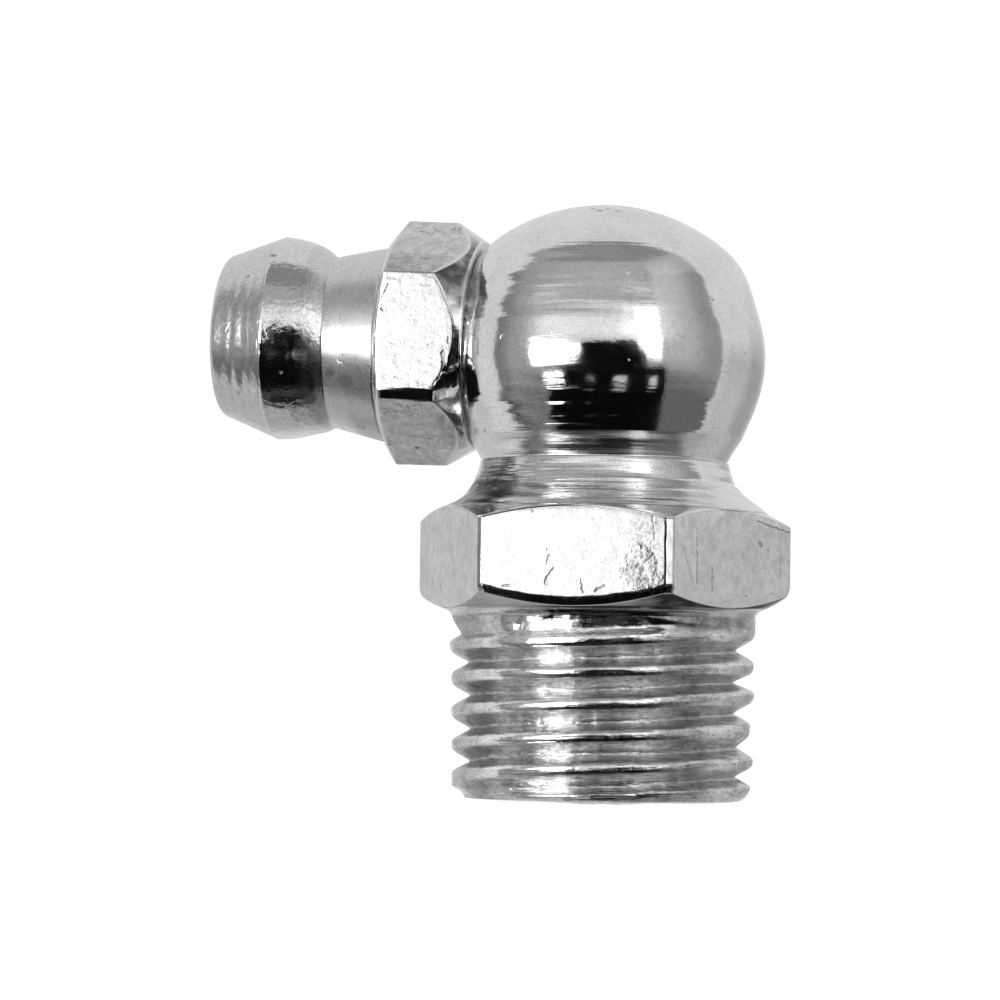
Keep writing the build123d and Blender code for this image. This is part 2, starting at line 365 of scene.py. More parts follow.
def body_rows():
    L = Lathe(theta)
    # inside: from the bore's drill point down to the mouth
    tip = (0.05, 16.53)
    L.add(*tip, zone="bore")
    L.line(tip, (1.6, 15.6), 2, zone="bore")
    L.line((1.6, 15.6), (1.6, 0.31), 6, zone="bore")
    L.line((1.6, 0.31), (1.85, 0.06), 1, zone="bore")
    # end face
    lip = 0.06 * np.exp(-((turn_gap(theta, math.radians(279)) / math.radians(17)) ** 4))
    lip = lip * (1 + 0.25 * noise1(theta / TAU * 120, 77, 120))
    lip = np.clip(lip, 0, 0.06)
    face = 0.075 + 0.03 * W_L
    L.line((1.85, 0.06), (3.9, face), 2, zone="end")
    r1 = 4.25 + 0.03 * noise1(theta / TAU * 40, 31, 40)
    L.add(r1, face - lip * 0.8, zone="end")
    L.add(r1 + 0.10, face + 0.01 - lip, zone="end")
    # thread: the rows lean along with the turns over the front, and come back behind
    lean_at = [0, 165, 190, 360, 378, 412, 525]
    f = (np.degrees(theta) - 165) % 360
    lean = np.where(f < 245, (f - 115) / 360, (115 - 115) / 360 + (130 - (f - 245) * 245 / 115) / 360) * PITCH_MM
    steps = [0.08, 0.04, 0.0, -0.035, -0.065, -0.09, -0.112, -0.135, -0.165, -0.21, -0.27, -0.34,
             -0.415, -0.49, -0.56, -0.63, -0.70, -0.77, -0.84, -0.90]
    crests = [0.165, 1.19, 2.22, 3.26, 4.30, 5.31, 6.364]
    zs = np.array([c + d * 1.03 for c in crests for d in steps])
    zs = np.sort(zs[(zs > 0.12) & (zs < 6.14)])
    keep = np.concatenate([[True], np.diff(zs) > 0.012])
    zs = zs[keep]
    for z in zs:
        w = smooth(0.1, 1.2, z) * (1 - smooth(5.2, 6.15, z))
        zz = z + lean * w
        r, share = thread_radius(theta, zz)
        end = (
            (W_L + 0.5 * W_F) * np.interp(zz, [0.06, 0.12, 0.25, 0.38, 0.50, 0.70, 0.9], [4.45, 4.50, 4.56, 4.68, 4.92, 5.1, 5.3])
            + (W_R + 0.5 * W_F) * np.interp(zz, [0.06, 0.12, 0.25, 0.45, 0.70, 0.9], [4.44, 4.62, 4.80, 4.93, 5.08, 5.3])
        )
        end = end + 0.04 * fbm2(theta / TAU * 31, zz * 3, 14, 3, 31) + 0.06 * (lip / 0.06) * smooth(0.5, 0.1, z)
        soft = 0.03
        r = 0.5 * (r + end - np.sqrt((r - end) ** 2 + soft**2))
        deg = np.degrees(theta)
        # painted shade near the top of the thread: under the flange on the right of the front, and less on the left
        dull_and_shade = 1.1 * smooth(296, 300, deg) * (1 - smooth(340, 356, deg)) * smooth(5.62, 5.85, zz)
        dull_and_shade = dull_and_shade + 0.55 * smooth(182, 190, deg) * (1 - smooth(238, 246, deg)) * smooth(5.3, 5.6, zz)
        L.add(r, zz, zone="thread", share=share, grime=dull_and_shade)
    # fillet to the underside of the flange
    rt, zt = L.r[-1], L.z[-1]
    low = (5.27 + 0 * theta, 6.43 - 0.05 * W_F - 0.05 * W_L)
    # painted shade, a little, in the fillet under the flange
    L.bend((rt, zt), (5.0 + 0 * theta, 6.29 + 0 * theta), low, 4, zone="neckring", grime=0.3)
    # hexagon flange
    R = hex_radius(theta, FLAT, BEVELS)
    dz_low = -0.075 * W_F - 0.09 * W_L - 0.02 * W_R
    dz_high = -0.05 * W_F - 0.09 * W_R + 0.03 * W_L
    roll_w = 0.31 * (1 + 0.06 * noise1(theta / TAU * 130, 51, 130) + 0.05 * noise1(theta / TAU * 380, 52, 380))
    roll = 0.10
    Rb = R - roll
    zlow = 6.3917 + (Rb - 5.20) * CONE + dz_low
    zhigh = 9.26 + (6.25 - R) * CONE + dz_high
    inner = (5.20 + 0 * R, 6.3917 + dz_low)
    a = towards((Rb, zlow), inner, 0.03)
    # painted shade on the flange's underside, from the right of the front round to the right
    L.line(low, a, 4, zone="under", share=0.55, grime=1.4 * smooth(285, 300, np.degrees(theta)))
    L.bend(a, (Rb, zlow), (Rb + 0.010, zlow + 0.022), 2, zone="edge")
    for t in (0.2, 0.4, 0.6, 0.8, 1.0):
        L.add(R - roll * (1 - t) ** 1.5 + 0.010 * (1 - t), zlow + 0.022 + (roll_w - 0.022) * t, zone="roll")
    z0, z1 = zlow + roll_w, zhigh - 0.06
    for k in range(1, 12):
        # the corner on the right of the front is hammered a little wavy
        jag = 0.075 * float(noise1(k * 0.83, 53)) * math.sin(math.pi * k / 11) ** 0.5
        L.add(hex_radius(theta, FLAT, BEVELS[:5] + (BEVELS[5] + jag,)), z0 + (z1 - z0) * k / 11, zone="flat")
    inner_r = 5.40 + 0.10 * W_R
    upper_end = (inner_r, 9.26 + (6.25 - inner_r) * CONE + dz_high)
    b = towards((R, zhigh), upper_end, 0.05)
    L.bend((R, z1), (R, zhigh), b, 3, zone="edge")
    c = towards(upper_end, (R, zhigh), 0.02)
    L.line(b, c, 3, zone="cone")
    # neck
    nz = [9.60, 9.785, 10.05, 10.32, 10.58, 10.85, 11.11, 11.20]
    nr = [5.50, 5.29, 4.915, 4.617, 4.405, 4.268, 4.168, 4.143]
    start = upper_end[1] + 0.006
    dl = lambda z: (
        W_L * np.interp(z, [9.67, 9.83, 10.0, 10.17, 10.34, 10.5, 10.67, 11, 11.3], [-0.03, -0.12, -0.16, -0.155, -0.11, -0.066, -0.045, -0.03, 0])
        + W_R * np.interp(z, [9.54, 9.7, 9.87, 10.03, 10.37, 10.53, 10.7, 10.87, 11.2], [-0.05, -0.05, -0.025, -0.023, -0.047, -0.063, -0.04, -0.02, 0])
        + W_F * np.interp(z, [9.7, 10.1, 10.6, 11.2], [-0.02, -0.07, -0.05, 0])
    )
    for t in np.linspace(0, 1, 23):
        zz = start + (11.20 - start) * t
        deg = np.degrees(theta)
        # painted shade on the lower part of the neck, on the left of the front
        shade = 1.55 * smooth(192, 208, deg) * (1 - smooth(236, 243, deg)) * smooth(9.5, 9.8, zz) * (1 - smooth(10.5, 10.9, zz))
        ripple = (0.0042 * np.sin(TAU * (zz - 9.93) / 0.36) + 0.004 * noise1(zz * 6.0, 66)) * smooth(9.6, 9.8, zz)
        r = np.minimum(spline(nz, nr, zz) + ripple + dl(zz) * smooth(0.0, 0.1, t), inner_r - 0.012)
        L.add(r, zz, zone="neck", grime=shade)
    L.add(4.125, 11.235, zone="neck")
    L.add(4.130, 11.262, zone="neck")
    # underside of the ball, cut a little steeper below a turned line
    under_z = np.array([11.30, 11.36, 11.44, 11.52, 11.60, 11.68, 11.76, 11.84, 11.92, 12.0, 12.08])
    for z in under_z:
        L.add(4.556 - (12.10 - z) * 0.668 + 0.045 * smooth(11.75, 11.2, z), z, zone="low")
    for z in (12.12, 12.22, 12.32):
        L.add(4.655 + (z - 12.32) * 0.448, z, zone="ball")
    for z in (12.42, 12.52, 12.62, 12.72):
        L.add(4.655 + (z - 12.32) * 0.424, z, zone="ball")
    # ball: polar form about (0, 14.6)
    ang = [-39.1, -38, -30, -22, -14, -6, 2, 10, 18, 26, 34, 42, 50, 58, 66, 74, 82, 90, 98, 106]
    rad = [5.2926, 5.2683, 5.1724, 5.1732, 5.2189, 5.272, 5.3092, 5.3216, 5.3247, 5.3957, 5.5108,
           5.5187, 5.4618, 5.4023, 5.3498, 5.3093, 5.2841, 5.2761, 5.2841, 5.3093]
    steps = list(np.arange(-20.0, 60, 1.7)) + list(np.arange(60, 88.5, 2.8))
    for q in steps:
        rho = float(spline(ang, rad, q))
        rho = rho - 0.06 * W_R * np.exp(-(((q - 55) / 22.0) ** 2)) - 0.02 * smooth(50, 80, q)
        # faint flats left by the turning tool
        rho = rho + 0.004 * noise1(q * 0.42 + 20, 61) * (1 - 0.85 * math.exp(-(((q + 3) / 14.0) ** 4)))
        L.add(rho * math.cos(math.radians(q)), 14.6 + rho * math.sin(math.radians(q)), zone="ball")
    return L


def build_body():
    L = body_rows()
    lay = arc_length(L)
    rows, n = len(L.r), len(theta)
    groove = {"bore": 0.6, "end": 1.0, "thread": 0.5, "neckring": 1.0, "under": 0.9, "edge": 0.3, "roll": 0.15,
              "flat": 0.0, "cone": 0.5, "neck": 2.2, "ball": 1.0, "low": 1.1}
    thread = {"thread": 1.0, "neckring": 0.4, "end": 0.3}
    flat = {"flat": 1.0, "roll": 0.6}
    zone = np.zeros((rows, n, 3))
    for k, t in enumerate(L.tags):
        zone[k, :, 0] = groove[t["zone"]]
        zone[k, :, 1] = flat.get(t["zone"], 0.0)
        zone[k, :, 2] = thread.get(t["zone"], 0.0)
    worn = np.zeros((rows, n))
    for k, t in enumerate(L.tags):
        worn[k] = t.get("share", 0.0)
    grime = np.zeros((rows, n))
    for k, t in enumerate(L.tags):
        grime[k] = t.get("grime", 0.0)
    ob = lathe_mesh(
        "angle_body_turned", L, place_body, (0.0, 16.545, 0.0), (0.0, 19.855, 0.0),
        {"lay": np.repeat(lay[:, None], n, 1), "zone": zone, "worn": worn, "grime": grime},
    )
    # drilled cross hole and the spot-faced seat, cut out together
    def cutter(name, radius, u0, u1):
        me = bpy.data.meshes.new(name)
        k = 160
        a = np.arange(k) / k * TAU
        v = np.concatenate([place_nipple(radius, u0, a), place_nipple(radius, u1, a)]) * MM
        f = [tuple(range(k))[::-1], tuple(range(k, 2 * k))]
        f += [(i, (i + 1) % k, k + (i + 1) % k, k + i) for i in range(k)]
        me.from_pydata([tuple(p) for p in v], [], f)
        me.update()
        o = bpy.data.objects.new(name, me)
        bpy.context.scene.collection.objects.link(o)
        import bmesh
        bm = bmesh.new(); bm.from_mesh(me)
        bmesh.ops.recalc_face_normals(bm, faces=bm.faces[:])
        bm.to_mesh(me); bm.free()
        return o

    for name, radius, u0, u1 in (("cut_a", 3.7, 4.2, 7.0), ("cut_b", 3.0, 0.35, 5.0)):
        c = cutter(name, radius, u0, u1)
        mod = ob.modifiers.new(name, "BOOLEAN")
        mod.operation, mod.object, mod.solver = "DIFFERENCE", c, "MANIFOLD"
        dg = bpy.context.evaluated_depsgraph_get()
        me = bpy.data.meshes.new_from_object(ob.evaluated_get(dg))
        ob.modifiers.clear()
        old = ob.data
        ob.data = me
        bpy.data.meshes.remove(old)
        bpy.data.objects.remove(c)
    me = ob.data
    me.name = "angle_body_turned"
    return ob


# =====================================================================
# side nipple
# =====================================================================
N_FLAT = 3.56
N_BEVELS = (0.10, 0.06, 0.42, 0.10, 0.10, 0.10)


def nipple_density(t):
    front = 1 + 1.2 * np.exp(-((np.abs(turn_gap(t, math.radians(85))) / math.radians(96)) ** 6))
    corner = np.abs((t + math.pi / 6) % (math.pi / 3) - math.pi / 6)
    return front * (1 + 1.2 * np.exp(-((corner / math.radians(3.6)) ** 2)))


alpha = spread(400, nipple_density)


def build_nipple():
    """The nipple is a ring in section: the rows run round it and close."""
    L = Lathe(alpha)
    R = hex_radius(alpha, N_FLAT, N_BEVELS)
    R_back = hex_radius(alpha, N_FLAT, N_BEVELS[:2] + (0.50,) + N_BEVELS[3:])
    R_nose = hex_radius(alpha, N_FLAT, N_BEVELS[:2] + (0.30,) + N_BEVELS[3:])
    turn = alpha / TAU
    ca, sa = np.cos(alpha), np.sin(alpha)
    # bore side, from the nose inwards
    L.add(0.80, 12.92 - 0.15, zone="bore")
    L.line((0.80, 12.77), (0.80, 12.47), 1, zone="bore")
    L.line((0.80, 12.47), (1.40, 11.87), 2, zone="bore")
    L.line((1.40, 11.87), (1.40, 1.60), 4, zone="bore")
    L.line((1.40, 1.60), (0.95, 1.60), 1, zone="bore")
    L.line((0.95, 1.60), (0.95, 0.90), 1, zone="bore")
    L.line((0.95, 0.90), (2.74, 0.90), 2, zone="end")
    L.line((2.74, 0.90), (2.985, 1.15), 1, zone="shank")
    L.line((2.985, 1.15), (2.985, 4.2), 6, zone="shank")
    L.line((2.985, 4.2), (3.42, 4.2), 2, zone="end")
    L.bend((3.42, 4.2), (3.47, 4.2), (3.49, 4.25), 2, zone="cone")
    # back bevel, up to the hexagon
    out = np.clip((R - N_FLAT) / (4.11 - N_FLAT), 0, 1)
    ub = 4.46 + 0.78 * out + 0.02 * noise1(turn * 60, 81, 60)
    e = towards((R, ub), (3.49 + 0 * R, 4.25 + 0 * R), 0.05)
    deg = np.degrees(alpha)
    # painted shade on the back bevel over its upper front
    side_shade = 1.3 * smooth(5, 30, deg) * (1 - smooth(72, 88, deg))
    L.line((3.49, 4.25), e, 6, zone="cone", grime=side_shade)
    L.bend(e, (R, ub), (R, ub + 0.05), 3, zone="edge")
    uf = 7.05 - 0.13 * out + 0.012 * noise1(turn * 70, 82, 70)
    bulge = 0.05 * np.sin(math.pi * np.linspace(0, 1, 17))
    for k in range(1, 17):
        t = k / 16
        # the faces are cut a little proud towards the nose at the bottom corner
        uu = ub + 0.05 + (uf - 0.06 - ub - 0.05) * t
        # painted shade on most of the upper front flat and near the back edge of the lower front flat
        flat_shade = 0.55 * smooth(38, 46, deg) * (1 - smooth(59, 60.5, deg)) * smooth(4.9, 5.3, uu)
        flat_shade = flat_shade + 0.6 * smooth(128, 136, deg) * (1 - smooth(160, 170, deg)) * (1 - smooth(4.9, 5.25, uu))
        Rt = R_back + (R_nose - R_back) * t + 0.010 * fbm2(turn * 150, t * 8, 33, 3, 150) * out
        L.add(Rt + 0.03 * np.maximum(-ca, 0) ** 2 * t * out, uu, zone="flat", grime=flat_shade)
    Rf = R + 0.03 * np.maximum(-ca, 0) ** 2 * out
    f_end = (3.46 + 0 * R, 7.20 + 0 * R)
    g = towards((Rf, uf), f_end, 0.06)
    L.bend((Rf, uf - 0.06), (Rf, uf), g, 3, zone="edge")
    h = towards(f_end, (Rf, uf), 0.04)
    mid = (0.5 * (g[0] + h[0]) + 0.05 * out, 0.5 * (g[1] + h[1]) + 0.05 * out)
    L.line(g, mid, 2, zone="cone")
    L.line(mid, h, 2, zone="cone")
    L.bend(h, f_end, (3.40, 7.20), 2, zone="cone")
    L.line((3.40, 7.20), (3.33, 7.20), 1, zone="end")
    # necked shank; it sits a little low of the axis
    def low(u):
        return -0.11 * smooth(7.0, 7.3, u) * (1 - smooth(9.2, 9.9, u)) - 0.035 * smooth(9.2, 9.9, u)

    def shifted(r, u):
        """Radius of a circle of radius r whose centre sits off the axis by low(u)."""
        c = low(u)
        return c * ca + np.sqrt(np.maximum(r**2 - (c * sa) ** 2, 0))

    nu = [7.22, 7.6, 8.0, 8.6, 9.0, 9.25]
    nr = [3.300, 3.222, 3.137, 3.005, 2.918, 2.860]
    waist = 9.20 + 0.10 * ca - 0.14 * sa
    for t in np.linspace(0, 1, 27):
        u = 7.22 + (waist - 0.02 - 7.22) * t
        # painted shade under the neck, next to the hexagon
        shade_patch = 0.5 * smooth(140, 152, deg) * (1 - smooth(172, 184, deg)) * (1 - smooth(8.0, 8.4, u))
        L.add(shifted(spline(nu, nr, 7.22 + 2.0 * t), u), u, zone="neck", grime=shade_patch)
    # coupler head: a land falling back to the waist, a sharp crease, a long nose
    ht = [0, 0.035, 0.12, 0.28, 0.5, 0.72, 0.88, 1.0]
    hr = [2.862, 2.895, 2.990, 3.130, 3.265, 3.355, 3.395, 3.412]
    crease = 11.02
    for t in np.concatenate([[0.0, 0.02, 0.045], np.linspace(0.08, 1, 25)]):
        u = waist + (crease - waist) * t
        r = float(spline(ht, hr, t)) + 0.003 * noise1(t * 23, 83)
        L.add(shifted(r, u), u, zone="head", groove=0.45 + 1.5 * float(1 - smooth(0.35, 0.70, t)),
              blur=0.3 + 1.9 * float(1 - smooth(0.26, 0.46, t)))
    L.bend((shifted(3.412, crease), crease + 0 * alpha), (shifted(3.41, crease + 0.02), crease + 0.02 + 0 * alpha),
           (shifted(3.392, crease + 0.05), crease + 0.05 + 0 * alpha), 2, zone="head")
    nose = np.linspace(0, 1, 30)
    for t in nose[1:]:
        u = crease + 0.05 + (12.79 - crease - 0.05) * t
        ripple = 0.0045 * math.sin(TAU * (u - 11.02) / 0.40) + 0.005 * noise1(t * 9 + 3, 84) + 0.005 * noise1(t * 19, 85)
        L.add(shifted(3.392 - (3.392 - 2.735) * t + ripple * math.sin(math.pi * t), u), u, zone="nose")
    end = L.r[-1]
    L.bend((end, 12.79 + 0 * alpha), (end - 0.05, 12.90 + 0 * alpha), (end - 0.15, 12.918 + 0 * alpha), 4, zone="nose")
    L.line((2.58, 12.92), (0.95, 12.92), 5, zone="end")
    L.add(0.84, 12.90, zone="end")
    lay = arc_length(L)
    rows, n = len(L.r), len(alpha)
    groove = {"bore": 0.6, "end": 1.0, "shank": 1.0, "cone": 0.6, "edge": 0.3, "flat": 0.0, "neck": 0.6, "head": 0.45,
              "nose": 1.6}
    blur = {"neck": 2.4, "nose": 1.7, "head": 0.3, "end": 1.0, "bore": 0.6}
    zone = np.zeros((rows, n, 3))
    for k, t in enumerate(L.tags):
        zone[k, :, 0] = t.get("groove", groove[t["zone"]])
        zone[k, :, 1] = 1.0 if t["zone"] == "flat" else 0.0
        zone[k, :, 2] = t.get("blur", blur.get(t["zone"], 0.0))
    worn = np.zeros((rows, n))
    grime = np.zeros((rows, n))
    hammer = {"head": 1.0, "nose": 0.75, "neck": 0.06, "flat": 0.25, "cone": 0.4, "end": 0.6}
    for k, t in enumerate(L.tags):
        worn[k] = hammer.get(t["zone"], 0.0)
        if t["zone"] == "head":
            worn[k] *= 1 - 0.6 * smooth(92, 108, deg) * (1 - smooth(118, 128, deg))
        grime[k] = t.get("grime", 0.0)
    return ring_mesh("side_nipple_turned", L, place_nipple,
                     {"lay": np.repeat(lay[:, None], n, 1), "zone": zone, "worn": worn, "grime": grime})


def ring_mesh(name, lathe, place, attributes):
    """A closed torus-like mesh: rows wrap round as well."""
    r, z = np.array(lathe.r), np.array(lathe.z)
    rows, n = r.shape
    pts = place(r, z, lathe.theta[None, :]).reshape(-1, 3)
    i = np.arange(n)
    j = (i + 1) % n
    quads = []
    for k in range(rows):
        a, b = k * n, ((k + 1) % rows) * n
        quads.append(np.stack([a + i, a + j, b + j, b + i], 1))
    q = np.concatenate(quads)
    vol = np.einsum("ij,ij->i", pts[q[:, 0]], np.cross(pts[q[:, 1]], pts[q[:, 2]])).sum()
    vol += np.einsum("ij,ij->i", pts[q[:, 0]], np.cross(pts[q[:, 2]], pts[q[:, 3]])).sum()
    if vol < 0:
        q = q[:, ::-1]
    me = bpy.data.meshes.new(name)
    me.vertices.add(len(pts))
    me.vertices.foreach_set("co", (pts * MM).astype(np.float32).ravel())
    me.loops.add(q.size)
    me.loops.foreach_set("vertex_index", q.astype(np.int32).ravel())
    me.polygons.add(len(q))
    me.polygons.foreach_set("loop_start", (np.arange(len(q)) * 4).astype(np.int32))
    me.polygons.foreach_set("use_smooth", np.ones(len(q), bool))
    me.update(calc_edges=True)
    for key, grid in attributes.items():
        grid = np.asarray(grid, float)
        if grid.ndim == 3:
            at = me.attributes.new(key, "FLOAT_VECTOR", "POINT")
            at.data.foreach_set("vector", grid.astype(np.float32).ravel())
        else:
            at = me.attributes.new(key, "FLOAT", "POINT")
            at.data.foreach_set("value", grid.astype(np.float32).ravel())
    me.validate()
    ob = bpy.data.objects.new(name, me)
    bpy.context.scene.collection.objects.link(ob)
    return ob


# =====================================================================
# materials
# =====================================================================


class Nodes:
    def __init__(self, tree):
        self.tree = tree

    def new(self, kind, **settings):
        node = self.tree.nodes.new(kind)
        for k, v in settings.items():
            setattr(node, k, v)
        return node

    def link(self, a, b):
        self.tree.links.new(a, b)

    def put(self, socket, value):
        if isinstance(value, (int, float)):
            socket.default_value = value
        elif isinstance(value, (tuple, list)):
            socket.default_value = value
        else:
            self.link(value, socket)

    def math(self, op, a, b=None, c=None, clamp=False):
        n = self.new("ShaderNodeMath", operation=op, use_clamp=clamp)
        self.put(n.inputs[0], a)
        if b is not None:
            self.put(n.inputs[1], b)
        if c is not None:
            self.put(n.inputs[2], c)
        return n.outputs[0]

    def scale(self, v, s):
        n = self.new("ShaderNodeVectorMath", operation="MULTIPLY")
        self.put(n.inputs[0], v)
        n.inputs[1].default_value = s
        return n.outputs[0]

    def split(self, v):
        n = self.new("ShaderNodeSeparateXYZ")
        self.link(v, n.inputs[0])
        return n.outputs

    def join(self, x, y, z):
        n = self.new("ShaderNodeCombineXYZ")
        for s, v in zip(n.inputs, (x, y, z)):
            self.put(s, v)
        return n.outputs[0]

    def noise(self, v, scale=1.0, detail=2.0, rough=0.5, distort=0.0):
        n = self.new("ShaderNodeTexNoise")
        self.link(v, n.inputs["Vector"])
        n.inputs["Scale"].default_value = scale
        n.inputs["Detail"].default_value = detail
        n.inputs["Roughness"].default_value = rough
        n.inputs["Distortion"].default_value = distort
        return n.outputs["Fac"]

    def voronoi(self, v, scale=1.0, feature="F1", rand=1.0):
        n = self.new("ShaderNodeTexVoronoi", feature=feature)
        self.link(v, n.inputs["Vector"])
        n.inputs["Scale"].default_value = scale
        n.inputs["Randomness"].default_value = rand
        return n

    def ramp(self, x, a, b, lo=0.0, hi=1.0, smooth_step=True):
        n = self.new("ShaderNodeMapRange", clamp=True)
        n.interpolation_type = "SMOOTHSTEP" if smooth_step else "LINEAR"
        self.put(n.inputs["Value"], x)
        n.inputs["From Min"].default_value = a
        n.inputs["From Max"].default_value = b
        n.inputs["To Min"].default_value = lo
        n.inputs["To Max"].default_value = hi
        return n.outputs["Result"]

    def bump(self, height, distance, strength=1.0, normal=None):
        n = self.new("ShaderNodeBump")
        n.inputs["Distance"].default_value = distance
        n.inputs["Strength"].default_value = strength
        self.link(height, n.inputs["Height"])
        if normal is not None:
            self.link(normal, n.inputs["Normal"])
        return n.outputs["Normal"]


# face angle, face distance, strokes as (t, height, t, height, half width, depth)
SCRATCHES = {
    "body": (
        (270, 5.44, ((0.27, 6.82, 0.25, 7.22, 0.026, 1.0), (0.29, 6.82, 0.27, 6.98, 0.05, 0.9), (0.70, 6.84, 0.74, 6.92, 0.06, 0.9),
                     (0.80, 6.92, 1.02, 7.02, 0.05, 0.5), (2.55, 9.25, 2.63, 8.50, 0.040, 0.5), (-0.86, 7.10, -0.80, 7.30, 0.09, 0.28),
                     (-0.78, 7.36, -0.66, 7.52, 0.09, 0.28), (-0.84, 7.72, -0.80, 7.95, 0.06, 0.25), (-2.98, 8.9, -3.0, 7.3, 0.02, 0.3),
                     (-2.3, 6.98, -2.1, 7.02, 0.05, 0.4))),
        (330, 5.44, ((-1.82, 8.94, -1.78, 6.95, 0.036, 0.50), (-1.02, 7.71, -1.00, 6.95, 0.036, 0.55), (1.44, 8.57, 1.50, 8.52, 0.13, 0.62),
                     (1.88, 8.37, 1.90, 8.35, 0.085, 0.45), (1.30, 9.28, 3.02, 8.98, 0.035, 0.75), (0.71, 6.80, 0.80, 6.84, 0.05, 0.5),
                     (2.05, 6.95, 2.15, 6.93, 0.05, 0.5), (-2.5, 8.3, -1.9, 6.95, 0.03, 0.30), (2.6, 8.2, 2.55, 7.5, 0.03, 0.3))),
        (210, 5.44, ((-1.51, 7.40, -1.47, 7.15, 0.050, 0.50), (-0.74, 7.05, -0.60, 7.20, 0.04, 0.4), (-2.3, 7.6, -2.0, 7.0, 0.03, 0.35),
                     (1.2, 9.2, 2.0, 8.9, 0.03, 0.3), (-1.9, 8.9, -1.5, 9.05, 0.035, 0.35))),
    ),
    "nipple": (
        (90, 3.56, ((-1.62, 6.72, -1.10, 6.95, 0.030, 0.8), (-1.10, 6.95, -0.78, 6.88, 0.030, 0.7), (-0.76, 6.86, -0.80, 6.90, 0.07, 1.0),
                    (0.05, 4.62, 0.22, 4.60, 0.05, 0.9), (0.55, 4.72, 1.15, 4.68, 0.11, 0.45), (1.2, 4.75, 1.6, 5.0, 0.05, 0.4))),
        (150, 3.56, ((0.93, 6.02, 0.95, 6.00, 0.085, 0.9), (0.21, 5.26, 0.22, 5.25, 0.06, 0.8), (0.1, 6.8, 0.4, 5.3, 0.03, 0.3))),
        (30, 3.56, ((0.6, 6.6, 0.8, 5.0, 0.03, 0.35), (-0.2, 6.4, 0.3, 5.4, 0.03, 0.25), (0.9, 5.9, 1.0, 5.6, 0.06, 0.5))),
    ),
}


# x, y, z, radius, depth in mm
SPECKS = {
    "body": (
        (-0.15, -1.92, 19.54, 0.14, 1.0), (0.15, -2.24, 19.40, 0.19, 0.75), (0.37, -2.01, 19.49, 0.16, 0.9), (0.70, -2.16, 19.39, 0.14, 1.0),
        (0.95, -2.60, 19.12, 0.12, 1.0), (1.73, -1.54, 19.37, 0.12, 1.0), (4.10, -2.32, 17.03, 0.09, 0.5), (4.66, -1.62, 16.54, 0.08, 0.6),
        (5.03, -0.91, 16.01, 0.08, 0.5), (3.55, -2.67, 17.49, 0.07, 0.5), (4.40, -1.66, 12.07, 0.16, 0.8), (4.68, -2.17, 13.38, 0.08, 0.4),
        (4.95, -1.89, 14.80, 0.07, 0.5), (4.00, -2.96, 16.41, 0.07, 0.4), (3.13, -2.14, 18.30, 0.09, 0.4), (2.97, -3.17, 17.63, 0.07, 0.4),
        (-2.6, 3.1, 18.0, 0.12, 0.6), (1.2, 4.9, 15.7, 0.10, 0.6), (-3.4, 4.0, 13.7, 0.12, 0.5), (3.3, 3.9, 16.2, 0.09, 0.6),
    ),
    "nipple": (
        (-10.89, -2.24, 18.08, 0.13, 1.0), (-11.65, -2.56, 17.34, 0.09, 0.6), (-8.29, -2.67, 13.85, 0.30, 0.55), (-7.96, -1.26, 12.46, 0.22, 0.4),
        (-9.81, -2.79, 17.00, 0.08, 0.4), (-12.20, -2.95, 15.50, 0.10, 0.4), (-11.93, -2.31, 13.49, 0.10, 0.4), (-12.50, -2.65, 16.53, 0.08, 0.5), (-8.19, -2.70, 13.85, 0.34, 0.45), (-8.77, -2.66, 14.09, 0.22, 0.35),
        (-10.58, -1.15, 18.68, 0.14, 0.4), (-8.93, -1.53, 17.89, 0.09, 0.4), (-11.64, -1.36, 12.62, 0.10, 0.5), (-9.9, 2.6, 16.9, 0.12, 0.7),
    ),
}


